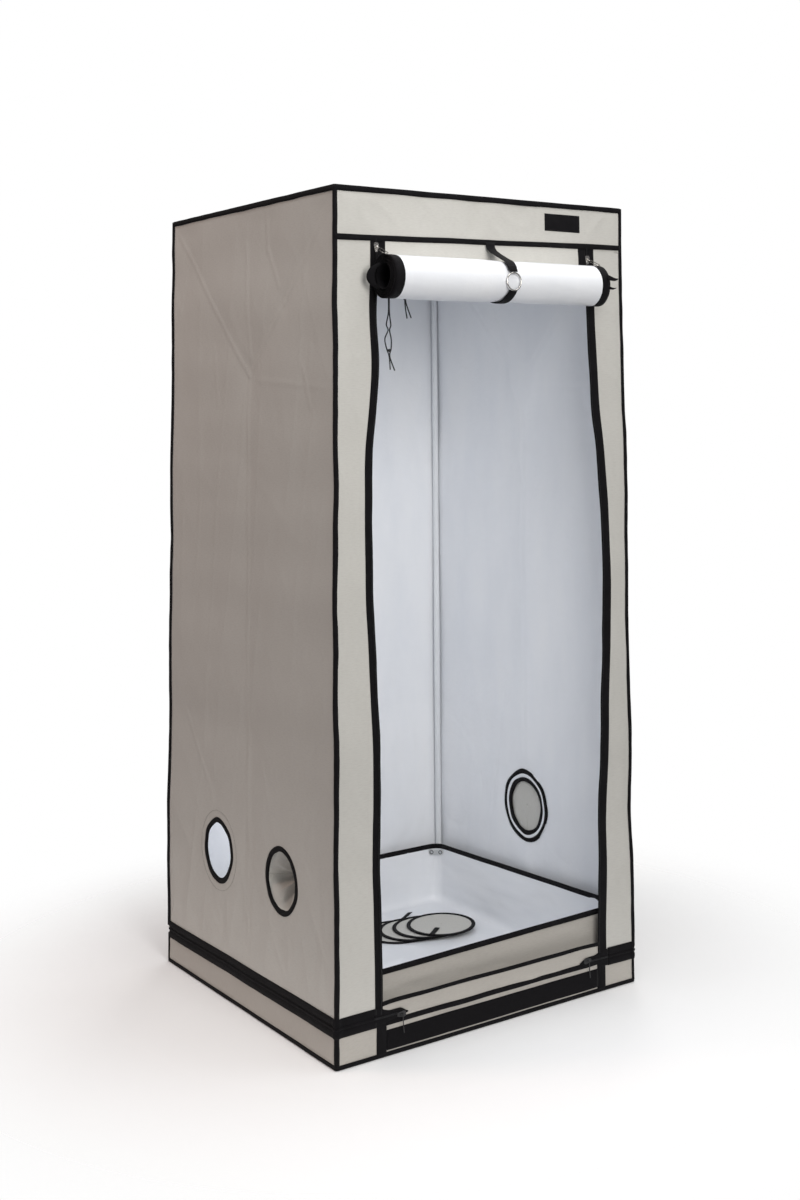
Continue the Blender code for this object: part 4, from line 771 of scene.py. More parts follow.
def wall(name, side, faces_x, folds, ports, seed, cell):
    """A side or rear wall with its creases, and an opening under each port's ring."""
    low, high = BASE_SEAM, CLOTH_TOP - 0.0012
    half = CLOTH - 0.0015 if faces_x else CLOTH
    hidden = (PORT_RADIUS + PORT_RING) / 2

    def on_wall(reach, across, height):
        return vec(reach, across, height) if faces_x else vec(across, reach, height)

    def place(u, v):
        flat = beside_holes(vec((2 * u - 1) * half, low + v * (high - low)), [(p, hidden) for p in ports])
        if flat is None:
            return None
        relief = wall_relief(*flat, folds, [(p, PORT_RING) for p in ports], seed)
        return on_wall(side * (CLOTH + relief), *flat) + sway(*on_wall(side * CLOTH, *flat))

    size = (2 * half, high - low)
    area = size[0] * size[1] - sum(pi * hidden**2 for p in ports)
    cells = [round(length / cell) for length in size]
    cloth(name, f"cover_{name}", cells, place, size, on_wall(side, 0, 0), "hung", area)


# Cover


def edge_shares(base, shares):
    """The doorway's edge as a list of (z, x), smooth through the shares."""
    curve = smooth_through([(*pair, 0) for pair in shares], 12)
    return [(p.x * TOP, base + DOOR_SLACK * p.y) for p in curve]


LEFT_EDGE = edge_shares(-0.306, LEFT_EDGE_SHARES)
RIGHT_EDGE = edge_shares(0.312, RIGHT_EDGE_SHARES)


def edge_at(curve, z):
    for low, high in zip(curve, curve[1:]):
        if low[0] < z <= high[0]:
            return low[1] + (high[1] - low[1]) * (z - low[0]) / (high[0] - low[0])
    return curve[0][1] if z <= curve[0][0] else curve[-1][1]


def seam_height(x):
    """The header's seam, which climbs a little to the right."""
    return HEADER_SEAM + 0.0057 + 0.02 * x


def post(name, side, curve, seed):
    """A front post, whose inner edge hangs slack along the doorway."""
    low, high = BASE_SEAM, seam_height(side * CLOTH)
    outer = side * CLOTH

    def place(u, v):
        z = low + v * (high - low)
        x = outer + u * (edge_at(curve, z) - outer)
        calm = ease(z - low, 0, 0.05) * ease(high - z, 0, 0.05) * ease(u, 0.05, 0.35)
        out = 0.001 + 0.0024 * wave(seed, 22 * x, 3 * z) + 0.0016 * wave(seed + 1, 8 * x, 11 * z)
        out += 0.001 * crinkle(seed + 2, 12 * x + 4 * z, 6 * z)
        out = max(-0.0026, out * calm * (1 - 0.85 * ease(u, 0.8, 1)))
        return vec(x, -CLOTH - out, z) + sway(x, -CLOTH, z)

    width = abs(edge_at(curve, 0.9) - outer)
    cloth(name, f"cover_{name}", (18, 268), place, (width, high - low), FRONT, "hung")


def header():
    low, high = HEADER_SEAM, CLOTH_TOP - 0.0012

    def place(u, v):
        x, z = (2 * u - 1) * CLOTH, low + v * (high - low)
        beside = max(abs(x - LABEL.x) - LABEL_SIZE.x / 2, abs(z - LABEL.y) - LABEL_SIZE.y / 2)
        calm = ease(min(z - low, high - z, CLOTH - abs(x)), 0.004, 0.03) * ease(beside, 0.0, 0.015)
        out = 0.0016 * wave(31, 14 * x, 5 * z) + 0.001 * wave(32, 42 * x, 7 * z)
        out += 0.0012 * crinkle(33, 9 * x + 5 * z, 8 * z)
        return vec(x, -CLOTH - max(-0.002, out * calm), z) + sway(x, -CLOTH, z)

    cloth("header", "cover_header", (133, 18), place, (2 * CLOTH, high - low), FRONT, "hung")


def label_patch():
    """The bare black patch sewn to the header."""
    a, b = LABEL_SIZE / 2
    xs = spread(LABEL.x - a, LABEL.x + a, 16)
    front_tape("label_patch", "", xs, lambda x: LABEL.y, 0.0003, 2 * b, 0.0009, WEBBING, 0.0002, 37)
    a, b = a - 0.003, b - 0.003
    corners = [(-a, -b), (a, -b), (a, b), (-a, b), (-a, -b)]
    line = [vec(LABEL.x + x, -CLOTH - 0.0012, LABEL.y + z) for x, z in corners]
    stitches("label_stitches", "", line, FRONT, COIL)


def roof():
    hidden = (ROOF_BORE + ROOF_RING) / 2

    def place(u, v):
        flat = beside_holes(vec((2 * u - 1) * CLOTH, (2 * v - 1) * CLOTH), [(ROOF_PORT, hidden)])
        if flat is None:
            return None
        x, y = flat
        away = (flat - ROOF_PORT).length - ROOF_RING
        calm = ease(min(CLOTH - abs(x), CLOTH - abs(y)), 0.008, 0.08) * ease(away, 0, 0.06)
        out = -0.0008 + 0.002 * wave(35, 5 * x, 5 * y) + 0.0007 * crinkle(36, 8 * x, 8 * y)
        for distance in (abs(x), abs(y), abs(abs(x) - abs(y)) / 1.414):
            out += 0.0006 * exp(-((distance / 0.004) ** 2)) - 0.001 * exp(-distance / 0.03)
        return vec(x, y, CLOTH_TOP + max(-0.0025, out * calm))

    size = (2 * CLOTH, 2 * CLOTH)
    cloth("roof", "cover_roof", (114, 114), place, size, UP, "stretched", 4 * CLOTH**2 - pi * hidden**2)


def corner_tape(name, x_side, y_side, side_leg, end_leg, seed):
    """The folded tape down a corner of the cover, with legs of slightly uneven width."""
    fold = 0.0016
    rings = []
    for z in spread(BAND_HIGH - 0.014, TOP - 0.001, round((TOP - BAND_HIGH) / 0.006) + 1):
        a = side_leg + 0.0014 * wave(seed, 9 * z) + 0.0006 * wave(seed, 40 * z)
        b = end_leg + 0.0014 * wave(seed + 1, 9 * z) + 0.0006 * wave(seed + 1, 37 * z)
        puff = 0.0005 + 0.0004 * wave(seed + 2, 30 * z)
        section = [
            (0.0004, a), (-puff * 0.5, a * 0.6), (-puff, fold), (0.29 * fold - puff, 0.29 * fold - puff),
            (fold, -puff), (b * 0.6, -puff * 0.5), (b, 0.0004), (b, BINDING), (BINDING, BINDING), (BINDING, a),
        ]
        shift = sway(x_side * CLOTH, y_side * CLOTH, z)
        rings.append([vec(x_side * (EDGE - x), y_side * (EDGE - y), z) + shift for x, y in section])
    sweep(name, "upper_binding", rings, TAPE)


def upper_tapes():
    """The tape over the cover's seams: four corners, the edge of the roof and the header's seam."""
    for x_side, y_side, name in CORNERS:
        legs = (SIDE_LEG, FRONT_LEG) if y_side < 0 else (REAR_LEG, REAR_LEG)
        corner_tape(f"corner_tape_{name}", x_side, y_side, *legs, 40 + 3 * x_side + y_side)
    leg, fold = TOP_LEG, 0.0018

    def puffed(point, out):
        travel = 9 * point.x + 11 * point.y
        hanging = point.z < TOP - 0.004
        rise = 0.0012 * wave(45, 1.6 * travel) if hanging else 0.0005 * wave(46, 2 * travel)
        return UP * rise + out * 0.0005 * wave(44, travel)

    section = [
        (0.0002, TOP - leg), (-0.0003, TOP - leg * 0.6), (-0.0003, TOP - fold),
        (0.29 * fold, TOP - 0.29 * fold + 0.0002), (fold, TOP + 0.0003), (leg * 0.6, TOP + 0.0002),
        (leg, TOP - 0.0004), (leg, TOP - BINDING), (BINDING, TOP - BINDING), (BINDING, TOP - leg),
    ]
    loop_tape("roof_edge_tape", "upper_binding", section, 0.006, puffed)
    start, pitch = -EDGE + 0.001, 0.0065

    def seam(x):
        return seam_height(x) + 0.0008 * wave(47, 0.05 * (x - start) / pitch)

    xs = [start + pitch * k for k in range(123)]
    front_tape("header_seam_tape", "upper_binding", xs, seam, 0.0012, HEADER_BAND, 0.0014, wobble=0.0006)


# Base


def band_height(x, y):
    """How far the zip's band stands above its level. It rides up at the left and sags at the right."""
    level = (0.004 - 0.009 * ease(x, -CLOTH, CLOTH)) * (1 - ease(y, -CLOTH, CLOTH))
    return level + 0.0014 * wave(51, 7 * x + 5 * y, 3 * y)


def base_band():
    """The zip round the base: two tapes puffed beside the coil, bulging at the corners."""
    middle = (BAND_LOW + BAND_HIGH) / 2
    back = EDGE - CLOTH - 0.0003
    lower = [
        (-1.0, 0.0), (-0.97, 0.0012), (-0.75, 0.0024), (-0.45, 0.0026), (-0.24, 0.0012), (-0.15, 0.0008),
        (-0.1, 0.0026),
    ]
    shape = [*lower, (0.0, 0.0032), *((-share, out) for share, out in reversed(lower))]

    def slack(point, out):
        corner = max(0.0, abs(out.x * out.y) * 2) * (1 - ease(point.y, -0.3, 0.2))
        run = 8 * point.x - 8 * point.y
        ripple = 0.0007 * wave(52, 3 * run, 60 * point.z) + 0.001 * wave(53, run)
        return UP * band_height(point.x, point.y) + out * (0.0042 * corner + max(-0.0004, ripple))

    def width(k):
        return 0.036 * (1 - 0.45 * ease(k, 4, 16)) * (1 - ease(k, 24, 33) * 0.93)

    gap = (DOORWAY_LEFT - POST_BAND, DOORWAY_RIGHT + POST_BAND)
    section = [(back - out, middle + share * 0.0195) for share, out in shape]
    loop_tape("base_band", "base_zip", section, 0.012, slack, gap)
    for name, sign, root in (("left", 1, gap[0]), ("right", -1, gap[1])):
        line = []
        for k in range(33):
            x = root - sign * 0.006 + sign * 0.082 * k / 32
            z = middle + band_height(x, -CLOTH) + 0.0012 * wave(54, 30 * x)
            line.append(vec(x, -CLOTH - 0.0005 - 0.001 * ease(k / 32, 0.2, 0.9), z))
        lay_tape(f"base_tongue_{name}", "base_zip", line, UP, FRONT, width, 0.0018, seed=55)
        places = [p + FRONT * 0.002 for a, b in zip(line[:27], line[1:28]) for p in (a, a.lerp(b, 0.5))]
        teeth(f"base_tongue_teeth_{name}", "base_zip", places, RIGHT, (0.0042, 0.001, 0.0012))


def bowl(name, node, rows, stations, shape, lining, thickness, width, area, slot=""):
    """A floor with low walls in one folded sheet.

    shape(place, flat, out, share, rise) gives the shift outwards, the height and the length up the wall.
    """
    points, uvs = [], []
    for share, rise in rows:
        for place, out in stations:
            flat = place * max(share, 0.002)
            outwards, height, climbed = shape(place, flat, out, share, rise)
            points.append(vec(*flat, height) + vec(*out, 0) * outwards)
            uvs.append(tuple(flat + out * climbed))
    faces = list(grid(len(rows), len(stations)))
    corner_uvs = [uvs[i] for face in faces for i in face]
    # The outer face takes the tub cloth, whose darker colour is painted shade.
    sheet = make_piece(name, node, points, faces, [TUB_CLOTH_PAINTED_SHADE, lining], corner_uvs, outward=-UP, slot=slot)
    thicken(sheet, thickness)


def tub():
    """The floor with its low walls, in one sheet with rounded edges."""
    top = (BAND_LOW + BAND_HIGH) / 2 - 0.0003
    rows = [(share, 0.0) for share in (0.0, 0.2, 0.4, 0.6, 0.8, 0.93, 0.98, 0.995)]
    rows += [(1.0, h * top) for h in (0.03, 0.1, 0.22, 0.36, 0.5, 0.64, 0.8, 0.92, 1.0)]

    def shape(place, flat, out, share, height):
        swell = 0.0016 * wave(57, 12 * flat.x - 9 * flat.y, 30 * height)
        swell += 0.0006 * crinkle(58, *(flat * 20))
        rise = ease(height, 0.004, 0.02) * (1 - ease(height, BAND_LOW - 0.03, BAND_LOW - 0.008))
        if out.y < -0.5:
            swell = -abs(swell)
        return swell * rise, 0.0001 + height, 0.7 * height

    width, area = 2 * CLOTH + 2 * top, 4 * CLOTH**2 + 8 * CLOTH * top
    bowl("tub", "base_tub", rows, loop_stations(CLOTH, 0.01, 110), shape, INSIDE, 0.001, width, area)


def lip():
    """The raised front of the tub across the doorway, leaning out, with its tape sagging at the ends."""
    low = BAND_LOW + 0.0006
    left, right = DOORWAY_LEFT - 0.014, DOORWAY_RIGHT + 0.005

    def sag(x):
        return -0.0035 - 0.0045 * exp(-min(x - left, right - x) / 0.05) + 0.0016 * wave(61, 7 * x)

    def lean(x):
        return 0.005 * ease(min(x - left, right - x), 0.02, 0.12)

    def place(u, v):
        x = left + u * (right - left)
        z = low + v * (LIP_TOP - 0.0015 + sag(x) - low)
        out = 0.0018 * wave(62, 11 * x, 18 * z) + 0.0012 * crinkle(63, 9 * x, 30 * z)
        return vec(x, -CLOTH - ease(v, 0.35, 1) * lean(x) - max(-0.0022, out * ease(v, 0, 0.3)), z)

    size = (right - left, LIP_TOP - low)
    # The lip's outer face is the tub cloth, darkened as painted shade.
    cloth("doorway_lip", "base_tub", (110, 14), place, size, FRONT, "stretched", materials=(TUB_CLOTH_PAINTED_SHADE, INSIDE))
    line = [vec(x, -CLOTH - 0.0001 - lean(x), LIP_TOP - 0.0036 + sag(x)) for x in spread(left, right, 100)]
    lay_tape("lip_tape", "lip_binding", line, UP, FRONT, 0.0078, 0.002, wobble=0.0005, seed=64)
    behind = [p - FRONT * 0.0009 for p in line]
    lay_tape("lip_tape_inside", "lip_binding", behind, UP, -FRONT, 0.0074, 0.0012, wobble=0.0005, seed=65)


def foot_tapes():
    """The tape round the foot, its corners, the doorway's sides, the sill line and the hook strip."""
    leg = BASE_LEG
    back = EDGE - CLOTH - 0.0002

    def slack(point, out):
        run = 9 * point.x - 9 * point.y
        puff = 0.001 * max(-0.3, wave(67, run)) + 0.0012 * abs(out.x * out.y) * 2
        return UP * 0.0008 * wave(66, run) * ease(point.z, 0.004, 0.01) + out * puff

    section = [
        (back, 0.0004), (back - 0.0014, 0.0008), (back - 0.0019, 0.0035), (back - 0.0017, leg * 0.7),
        (back - 0.001, leg), (back, leg),
    ]
    loop_tape("foot_tape", "base_binding", section, 0.01, slack)
    for x_side, y_side, name in CORNERS:
        rings = []
        for z in spread(leg * 0.6, BAND_LOW + 0.012, 13):
            wide = FRONT_LEG + 0.001 * wave(68 + x_side, 40 * z, y_side)
            shape = [
                (0.0008, wide), (0.0, 0.004), (0.0016, 0.0016), (0.004, 0.0), (wide, 0.0008),
                (wide, 0.002), (0.003, 0.003), (0.002, wide),
            ]
            rings.append([vec(x_side * (EDGE - a), y_side * (EDGE - b), z) for a, b in shape])
        sweep(f"foot_corner_{name}", "base_binding", rings, TAPE)
    for name, x in (("left", DOORWAY_LEFT - POST_BAND / 2), ("right", DOORWAY_RIGHT + POST_BAND / 2)):
        heights = spread(0.006, BAND_LOW + 0.014, 14)
        line = [vec(x + 0.0006 * wave(70, 30 * z), -CLOTH - 0.0004, z) for z in heights]
        lay_tape(f"doorway_tape_{name}", "base_binding", line, RIGHT, FRONT, POST_BAND, 0.0014, seed=71)
    xs = spread(DOORWAY_LEFT - 0.002, DOORWAY_RIGHT + 0.002, 90)
    middle, width = (STRIP_LOW + STRIP_HIGH) / 2, STRIP_HIGH - STRIP_LOW

    def sill(x):
        return SILL_HEIGHT + 0.0007 * wave(72, 12 * x)

    def strip(x):
        return middle + 0.0006 * wave(74, 8 * x)

    front_tape("sill_tape", "base_binding", xs, sill, 0.0004, 0.0105, 0.0014, seed=73)
    front_tape("hook_strip_pile", "hook_strip", xs, strip, 0.0003, width, 0.0013, PILE, seed=75)


# Door


def door_tapes():
    """The zip tapes down the posts' slack edges, with their teeth."""
    for name, curve, width, inward in (("left", LEFT_EDGE, 0.018, 1), ("right", RIGHT_EDGE, 0.026, -1)):
        rings, places = [], []
        for z in spread(BAND_HIGH - 0.012, seam_height(curve[-1][1]), 270):
            sewn = edge_at(curve, z) - inward * DOOR_TAPE_LAP
            free = sewn + inward * (width + 0.0012 * wave(81, 14 * z))
            curl = 0.0016 * wave(82, 9 * z) + 0.0008
            shift = sway(sewn, -CLOTH, z)
            shape = [
                (0.0, 0.0003), (0.0, 0.0009), (0.15, 0.0013), (0.5, 0.001 + 0.3 * curl), (0.9, 0.0012 + curl),
                (1.0, 0.001 + curl), (1.0, 0.0002 + curl), (0.5, 0.0002 + 0.3 * curl),
            ]
            rings.append([vec(sewn + (free - sewn) * share, -CLOTH - out, z) + shift for share, out in shape])
            places.append(vec(free - inward * 0.004, -CLOTH - 0.001 - curl * 0.8, z) + shift)
        sweep(f"door_tape_{name}", f"door_zip_tape_{name}", rings, TAPE)
        fine = [a.lerp(b, t) for a, b in zip(places, places[1:]) for t in (0.0, 1 / 3, 2 / 3)]
        teeth(f"door_teeth_{name}", f"door_zip_tape_{name}", fine, UP, (0.0032, 0.0011, 0.0012))


SHEET_LOW, SHEET_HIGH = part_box("door_sheet")
ROLL_RADIUS = 0.048
ROLL_AXIS = vec(0, SHEET_LOW.y - ROLL_RADIUS, SHEET_LOW.z - 0.0003)
ROLL_CORE = 0.026
ROLL_PITCH = 0.0033
ROLL_TAPE_LEFT = 0.0195
ROLL_TAPE_RIGHT = 0.023
ROLL_START, ROLL_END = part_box("door_roll")[0].x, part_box("door_roll")[1].x - 0.01
RING_SHIFT = 0.01


def on_roll(x, radius, angle):
    return ROLL_AXIS + vec(x, *turned(angle, radius))


def roll_swell(x, angle):
    """How the rolled door departs from a cylinder: soft folds and a waist under the strap."""
    fold = 0.0012 * wave(91, 4 * x, *turned(angle, 1.3)) + 0.0003 * wave(92, 18 * x, *turned(angle, 2.2))
    fold += 0.0005 * crinkle(93, 5 * x + sin(angle), 2 * cos(angle))
    return ease(1 - cos(angle), 0.05, 0.5) * (fold + 0.0006 - 0.0022 * exp(-((x / 0.035) ** 2)))


def door_roll():
    """The door wound on itself in one unbroken sheet, white side out, with its black tapes at the ends."""
    turns = (ROLL_RADIUS - ROLL_CORE) / ROLL_PITCH
    columns = 76
    left, right = ROLL_START, ROLL_END
    white_left, white_right = left + ROLL_TAPE_LEFT, right - ROLL_TAPE_RIGHT
    length = 2 * pi * turns * (ROLL_RADIUS + ROLL_CORE) / 2

    def place(u, v):
        x = left + u * (right - left)
        turn = turns * v
        angle = -2 * pi * turn
        tape = sum(ease(over, -0.002, 0.002) for over in (white_left - x, x - white_right))
        loose = 0.0007 * wave(94, 6 * x, 3 * turn) * ease(turn, 0.2, 1)
        radius = ROLL_RADIUS - ROLL_PITCH * turn + roll_swell(x, angle) + loose + 0.0004 * tape
        skew = 0.003 * wave(95, 2.5 * turn) * ease(abs(2 * u - 1), 0.8, 1) * (1 if u > 0.5 else -1)
        return on_roll(x + skew, radius, angle)

    def tape_at_ends(u, v):
        x = left + u * (right - left)
        deep = 0.1 if v > 0.85 else 0.0
        return 2 if x < white_left + deep or x > white_right - deep else 0

    roll = cloth(
        "rolled_sheet", "door_roll", (columns, 330), place, (right - left, length), None, "folded",
        materials=(GLOSSY, OUTSIDE, TAPE, TAPE), pick=tape_at_ends, body="rolled_door",
    )
    first = roll.data.polygons[columns * 40]
    radial = first.center - ROLL_AXIS
    radial.x = 0
    if first.normal.dot(radial) < 0:
        roll.data.flip_normals()
    leaf = [
        (-0.306, -0.434, 1.634), (-0.322, -0.43, 1.622), (-0.328, -0.428, 1.604), (-0.322, -0.43, 1.588),
        (-0.306, -0.434, 1.576),
    ]
    tips = ((-0.012, -0.4965, 1.622), (0.01, -0.4985, 1.617), (0.024, -0.497, 1.619))
    upper = [vec(right + x, y, z) for x, y, z in tips]
    lower = [p * 0.995 + vec(-0.004, 0, -0.013) for p in upper]

    def loose_end(name, path, across, out, taper):
        path = smooth_through(path, 6)
        widths = [taper(share) for share in spread(0, 1, len(path))]
        lay_tape(name, "door_roll", path, across, out, lambda k: widths[k], 0.0012, seed=96, body="rolled_door")

    def rounded(share):
        return 0.017 * sin(pi * (0.08 + 0.84 * share)) ** 0.5

    loose_end("roll_leaf", leaf, (0.81, -0.58, 0), (-0.58, -0.81, 0), rounded)
    loose_end("roll_tip_upper", upper, (0, 0.1, 1), (0, -1, 0.1), lambda s: 0.013 * (1.04 - s))
    loose_end("roll_tip_lower", lower, (0, -0.1, 1), (0, -1, -0.1), lambda s: 0.009 * (1.04 - s))


def door_sheet():
    """The door between the header and the roll, with its zip tapes down both sides."""
    front = -ROLL_AXIS.y - ROLL_RADIUS
    left, right = SHEET_LOW.x - 0.01, SHEET_HIGH.x + 0.016

    def place(u, v):
        x = left + u * (right - left)
        z = seam_height(x) - v * (seam_height(x) - SHEET_LOW.z)
        calm = ease(v, 0, 0.3) * (1 - ease(v, 0.6, 1))
        out = (0.0016 * wave(97, 12 * x, 14 * z) + 0.0008 * wave(98, 40 * x, 9 * z)) * calm
        return vec(x, -CLOTH - 0.0002 + (CLOTH - front) * sin(v * pi / 2) - max(-0.001, out), z)

    def tape_at_sides(u, v):
        x = left + u * (right - left)
        return 2 if x < left + 0.024 or x > right - 0.026 else 0

    size = (right - left, seam_height(0) - SHEET_LOW.z)
    join_to_door(cloth(
        "hanging_sheet", "door_sheet", (94, 14), place, size, FRONT, "hung",
        materials=(OUTSIDE, INSIDE, TAPE, TAPE), pick=tape_at_sides, body="",
    ))


def join_to_door(piece):
    """Bakes a piece's place into its mesh. The heights it would move between as the door comes down are worked out
    but not used.
    """
    start, end = ((0, -CLOTH, SHEET_HIGH.z + drop) for drop in (0.006, -0.03))
    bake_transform(piece)
    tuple(start)
    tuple(end)


def door_flaps():
    """Tapes behind the posts' slack edges, which close the gaps beside the door."""
    for name, inner, outer in (("left", -0.277, -0.345), ("right", 0.27, 0.35)):
        middle, width = (inner + outer) / 2, abs(outer - inner)
        heights = spread(seam_height(middle) - 0.006, SHEET_LOW.z + 0.004, 16)
        line = [vec(middle, -CLOTH + 0.006, z) for z in heights]
        join_to_door(lay_tape(f"door_flap_{name}", "", line, RIGHT, FRONT, width, 0.001, seed=107, body=""))


def roll_arc(start, end, x_from, x_to, lift, count):
    """Points round the roll between two angles in degrees, lift above it."""
    places = zip(spread(x_from, x_to, count), spread(0, 1, count), spread(start, end, count))
    return [on_roll(x, ROLL_RADIUS + lift(share), radians(angle)) for x, share, angle in places]


def strap_piece(name, path, width, thick=0.0013, seed=101):
    """Webbing along a path, its flat side away from the roll."""
    path = smooth_through(path, 3)

    def out(k):
        along = path[min(k + 1, len(path) - 1)] - path[max(k - 1, 0)]
        return vec(0, along.z, -along.y).normalized()

    squash_to_door(lay_tape(name, "roll_strap", path, RIGHT, out, width, thick, WEBBING, seed=seed))


def squash_to_door(piece):
    """Gives the strap or its ring a mesh of its own."""
    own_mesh(piece)


def strap():
    """The strap that holds the roll: down from the header to its ring, then round under the roll."""
    ring_low, ring_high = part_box("strap_ring")
    centre = (ring_low + ring_high) / 2 - RIGHT * RING_SHIFT
    seam = seam_height(0)
    upper = [vec(0.006, -EDGE - 0.0004, seam), vec(0.005, -EDGE - 0.01, seam - 0.019)]
    upper += roll_arc(108, 160, 0.002, centre.x - 0.001, lambda s: 0.0012 + 0.0022 * sin(s * pi / 2), 10)
    lower = roll_arc(206, 330, centre.x, -0.008, lambda s: 0.0006 + 0.003 * (1 - ease(s, 0, 0.2)), 16)
    behind = -CLOTH + 0.0022
    seam_low = HEADER_SEAM - HEADER_BAND / 2
    places = ((behind, ROLL_AXIS.z - 0.003), (behind + 0.001, seam_low - 0.025), (behind + 0.001, seam_low))
    lower += [vec(-0.008, y, z) for y, z in places]
    strap_piece("strap_upper", upper, lambda k: 0.025 - 0.004 * ease(k, 24, 33), seed=102)
    strap_piece("strap_lower", lower, lambda k: 0.021 + 0.004 * ease(k, 0, 10), seed=104)
    strap_piece("strap_fold", [p + FRONT * 0.0016 for p in upper[-4:]], 0.022, 0.0015, 106)

    # The nickel ring, a little oval
    wire = 0.0016
    radius = (ring_high.x - ring_low.x) / 2 - wire
    rings = []
    for k in range(72):
        a = 2 * pi * k / 72
        ring = []
        for b in (2 * pi * j / 14 for j in range(14)):
            r = radius + wire * cos(b)
            ring.append(centre + vec(r * sin(a), wire * sin(b) - 0.0004, 1.03 * r * cos(a)))
        rings.append(ring)
    squash_to_door(sweep("ring_wire", "strap_ring", rings, METAL, closed=True))


# Ports and covers

SIDE_SLEEVE = [
    (1.05, -0.01, 0.0), (1.03, 0.02, 0.0), (0.92, 0.1, 0.07), (0.74, 0.28, 0.15), (0.46, 0.6, 0.16),
    (0.2, 1.0, 0.1),
]
ROOF_SLEEVE = [
    (0.985, -0.01, 0.0), (0.985, 0.01, 0.0), (0.98, 0.12, 0.01), (0.92, 0.35, 0.04), (0.7, 0.6, 0.08),
    (0.34, 0.78, 0.1), (0.15, 0.86, 0.04), (0.2, 1.0, 0.06),
]


def port_ring(name, node, middle, axes, bore, outer, wobble):
    """A port's taped ring."""
    section = [
        (outer, 0.0), (outer - 0.0008, 0.0013), (outer - 0.0045, 0.0018), (bore + 0.0015, 0.0017), (bore, 0.0006),
        (bore, -0.0022), (bore + 0.0015, -0.0034), (outer - 0.002, -0.0034), (outer, -0.0022),
    ]
    ring_band(f"{name}_ring", node, middle, axes, section, wobble=wobble)


def port_patch(name, node, middle, axes, inner, outer):
    """The white patch round a port inside."""
    patch = [(outer, -0.0012), (outer, -0.0026), (inner, -0.0028), (inner, -0.0012)]
    ring_band(f"{name}_patch", node, middle, axes, patch, INSIDE)


def port(name, side, centre, seed=0):
    """A side port, with the bound white patch inside, and a sleeve where it is given a seed."""
    words = name.split("_")
    node = "_".join(["port", *words[:-1]])
    out = vec(side, 0, 0)
    axes = (-FRONT, UP, out)
    middle = vec(side * CLOTH, *centre)
    port_ring(name, node, middle, axes, PORT_RADIUS, PORT_RING, 0.04)
    if not seed:
        seam = [middle + out * 0.0002 + vec(0, *turned(2 * pi * k / 120, PORT_SEAM)) for k in range(121)]
        stitches(f"{name}_seam", node, seam, out, THREAD)
    port_patch(name, node, middle, axes, PORT_RADIUS + 0.004, PORT_SEAM - 0.001)
    rim = [
        (PORT_SEAM, -0.0011), (PORT_SEAM, -0.0032), (PORT_SEAM - 0.005, -0.004), (PORT_SEAM - 0.01, -0.0034),
        (PORT_SEAM - 0.01, -0.0014),
    ]
    ring_band(f"{name}_patch_rim", node, middle, axes, rim, wobble=0.035)
    if seed:
        sleeve(f"{name}_sleeve", node, middle, axes, PORT_RADIUS, SIDE_SLEEVE, 0.07, seed, 4)


def sleeve(name, node, middle, axes, bore, shares, length, seed, count):
    """A cloth sleeve drawn together behind its port, in folds that deepen towards the throat."""
    across, up, out = axes
    curve = smooth_through(shares, 7)
    rows = len(curve) - 1

    def place(u, v):
        share = curve[min(rows, round(v * rows))]
        angle = 2 * pi * u
        near = ease(share.y, 0.05, 0.5)
        folds = share.z * asin(cos(count * angle + 0.8 * wave(seed, *turned(angle, 2)) + 0.9 * share.y))
        folds += 0.13 * near * wave(seed + 1, *turned(angle, 2.5), 3 * share.y)
        folds -= 0.06 * ease(share.y, 0, 0.2) * crinkle(seed + 3, *turned(angle, 1.2))
        radius = max(0.002, bore * (share.x + folds) - 0.0008)
        depth = -0.0028 - length * share.y + 0.006 * near * wave(seed + 2, *turned(angle, 3))
        x, y = turned(angle, radius)
        return middle + x * across + y * up + out * depth

    size = (2 * pi * bore, length * 1.5)
    area = 0.6 * size[0] * size[1]
    cloth(name, node, (108, rows), place, size, None, "gathered", area, (OUTSIDE, OUTSIDE), 0.0008)


def roof_port():
    axes = (RIGHT, -FRONT, UP)
    middle = vec(*ROOF_PORT, CLOTH_TOP)
    port_ring("roof_port", "port_roof", middle, axes, ROOF_BORE, ROOF_RING, 0.005)
    port_patch("roof_port", "port_roof", middle, axes, ROOF_BORE + 0.001, ROOF_RING + 0.02)
    sleeve("roof_port_sleeve", "port_roof", middle, axes, ROOF_BORE, ROOF_SLEEVE, 0.145, 121, 9)


COVER_RADIUS = 0.0875
COVER_SECTION = [
    (0.0, 0.0004), (0.0002, 0.0022), (-0.001, 0.0029), (-0.0094, 0.0028), (-0.0098, 0.0008), (-0.0094, 0.0002),
    (-0.001, 0.0001),
]


def cover(name, node, centre, normal, tab_along, tab_from, lean, seed, lift=0.0033):
    """A round port cover: a cloth disc with a bound rim and a pull tab."""
    side = normal.cross(tab_along)

    def place(u, v):
        angle = 2 * pi * u
        x, y = turned(angle, max(0.0004, (COVER_RADIUS - 0.001) * v))
        height = 0.0016 + 0.0004 * wave(seed, *turned(angle, 4 * v))
        return centre + x * tab_along + y * side + normal * height

    faces = (OUTSIDE, OUTSIDE)
    disc = cloth(f"{name}_disc", node, (96, 15), place, (1, 1), normal, "", None, faces, 0.0007, body=name)
    for loop in disc.data.loops:
        offset = disc.data.vertices[loop.vertex_index].co - centre
        disc.data.uv_layers[0].data[loop.index].uv = (offset.dot(tab_along), offset.dot(side))
    section = [(COVER_RADIUS + inset, height) for inset, height in COVER_SECTION]
    ring_band(f"{name}_rim", node, centre, (tab_along, side, normal), section, wobble=0.004, body=name)
    step = 0.0052 * (tab_along - side * lean).normalized()
    tab = [centre + tab_along * tab_from + step * k + normal * (lift + 0.0002 * sin(k)) for k in range(11)]
    lay_tape(f"{name}_tab", node, tab, side, normal, 0.013, 0.001, WEBBING, seed=seed, body=name)


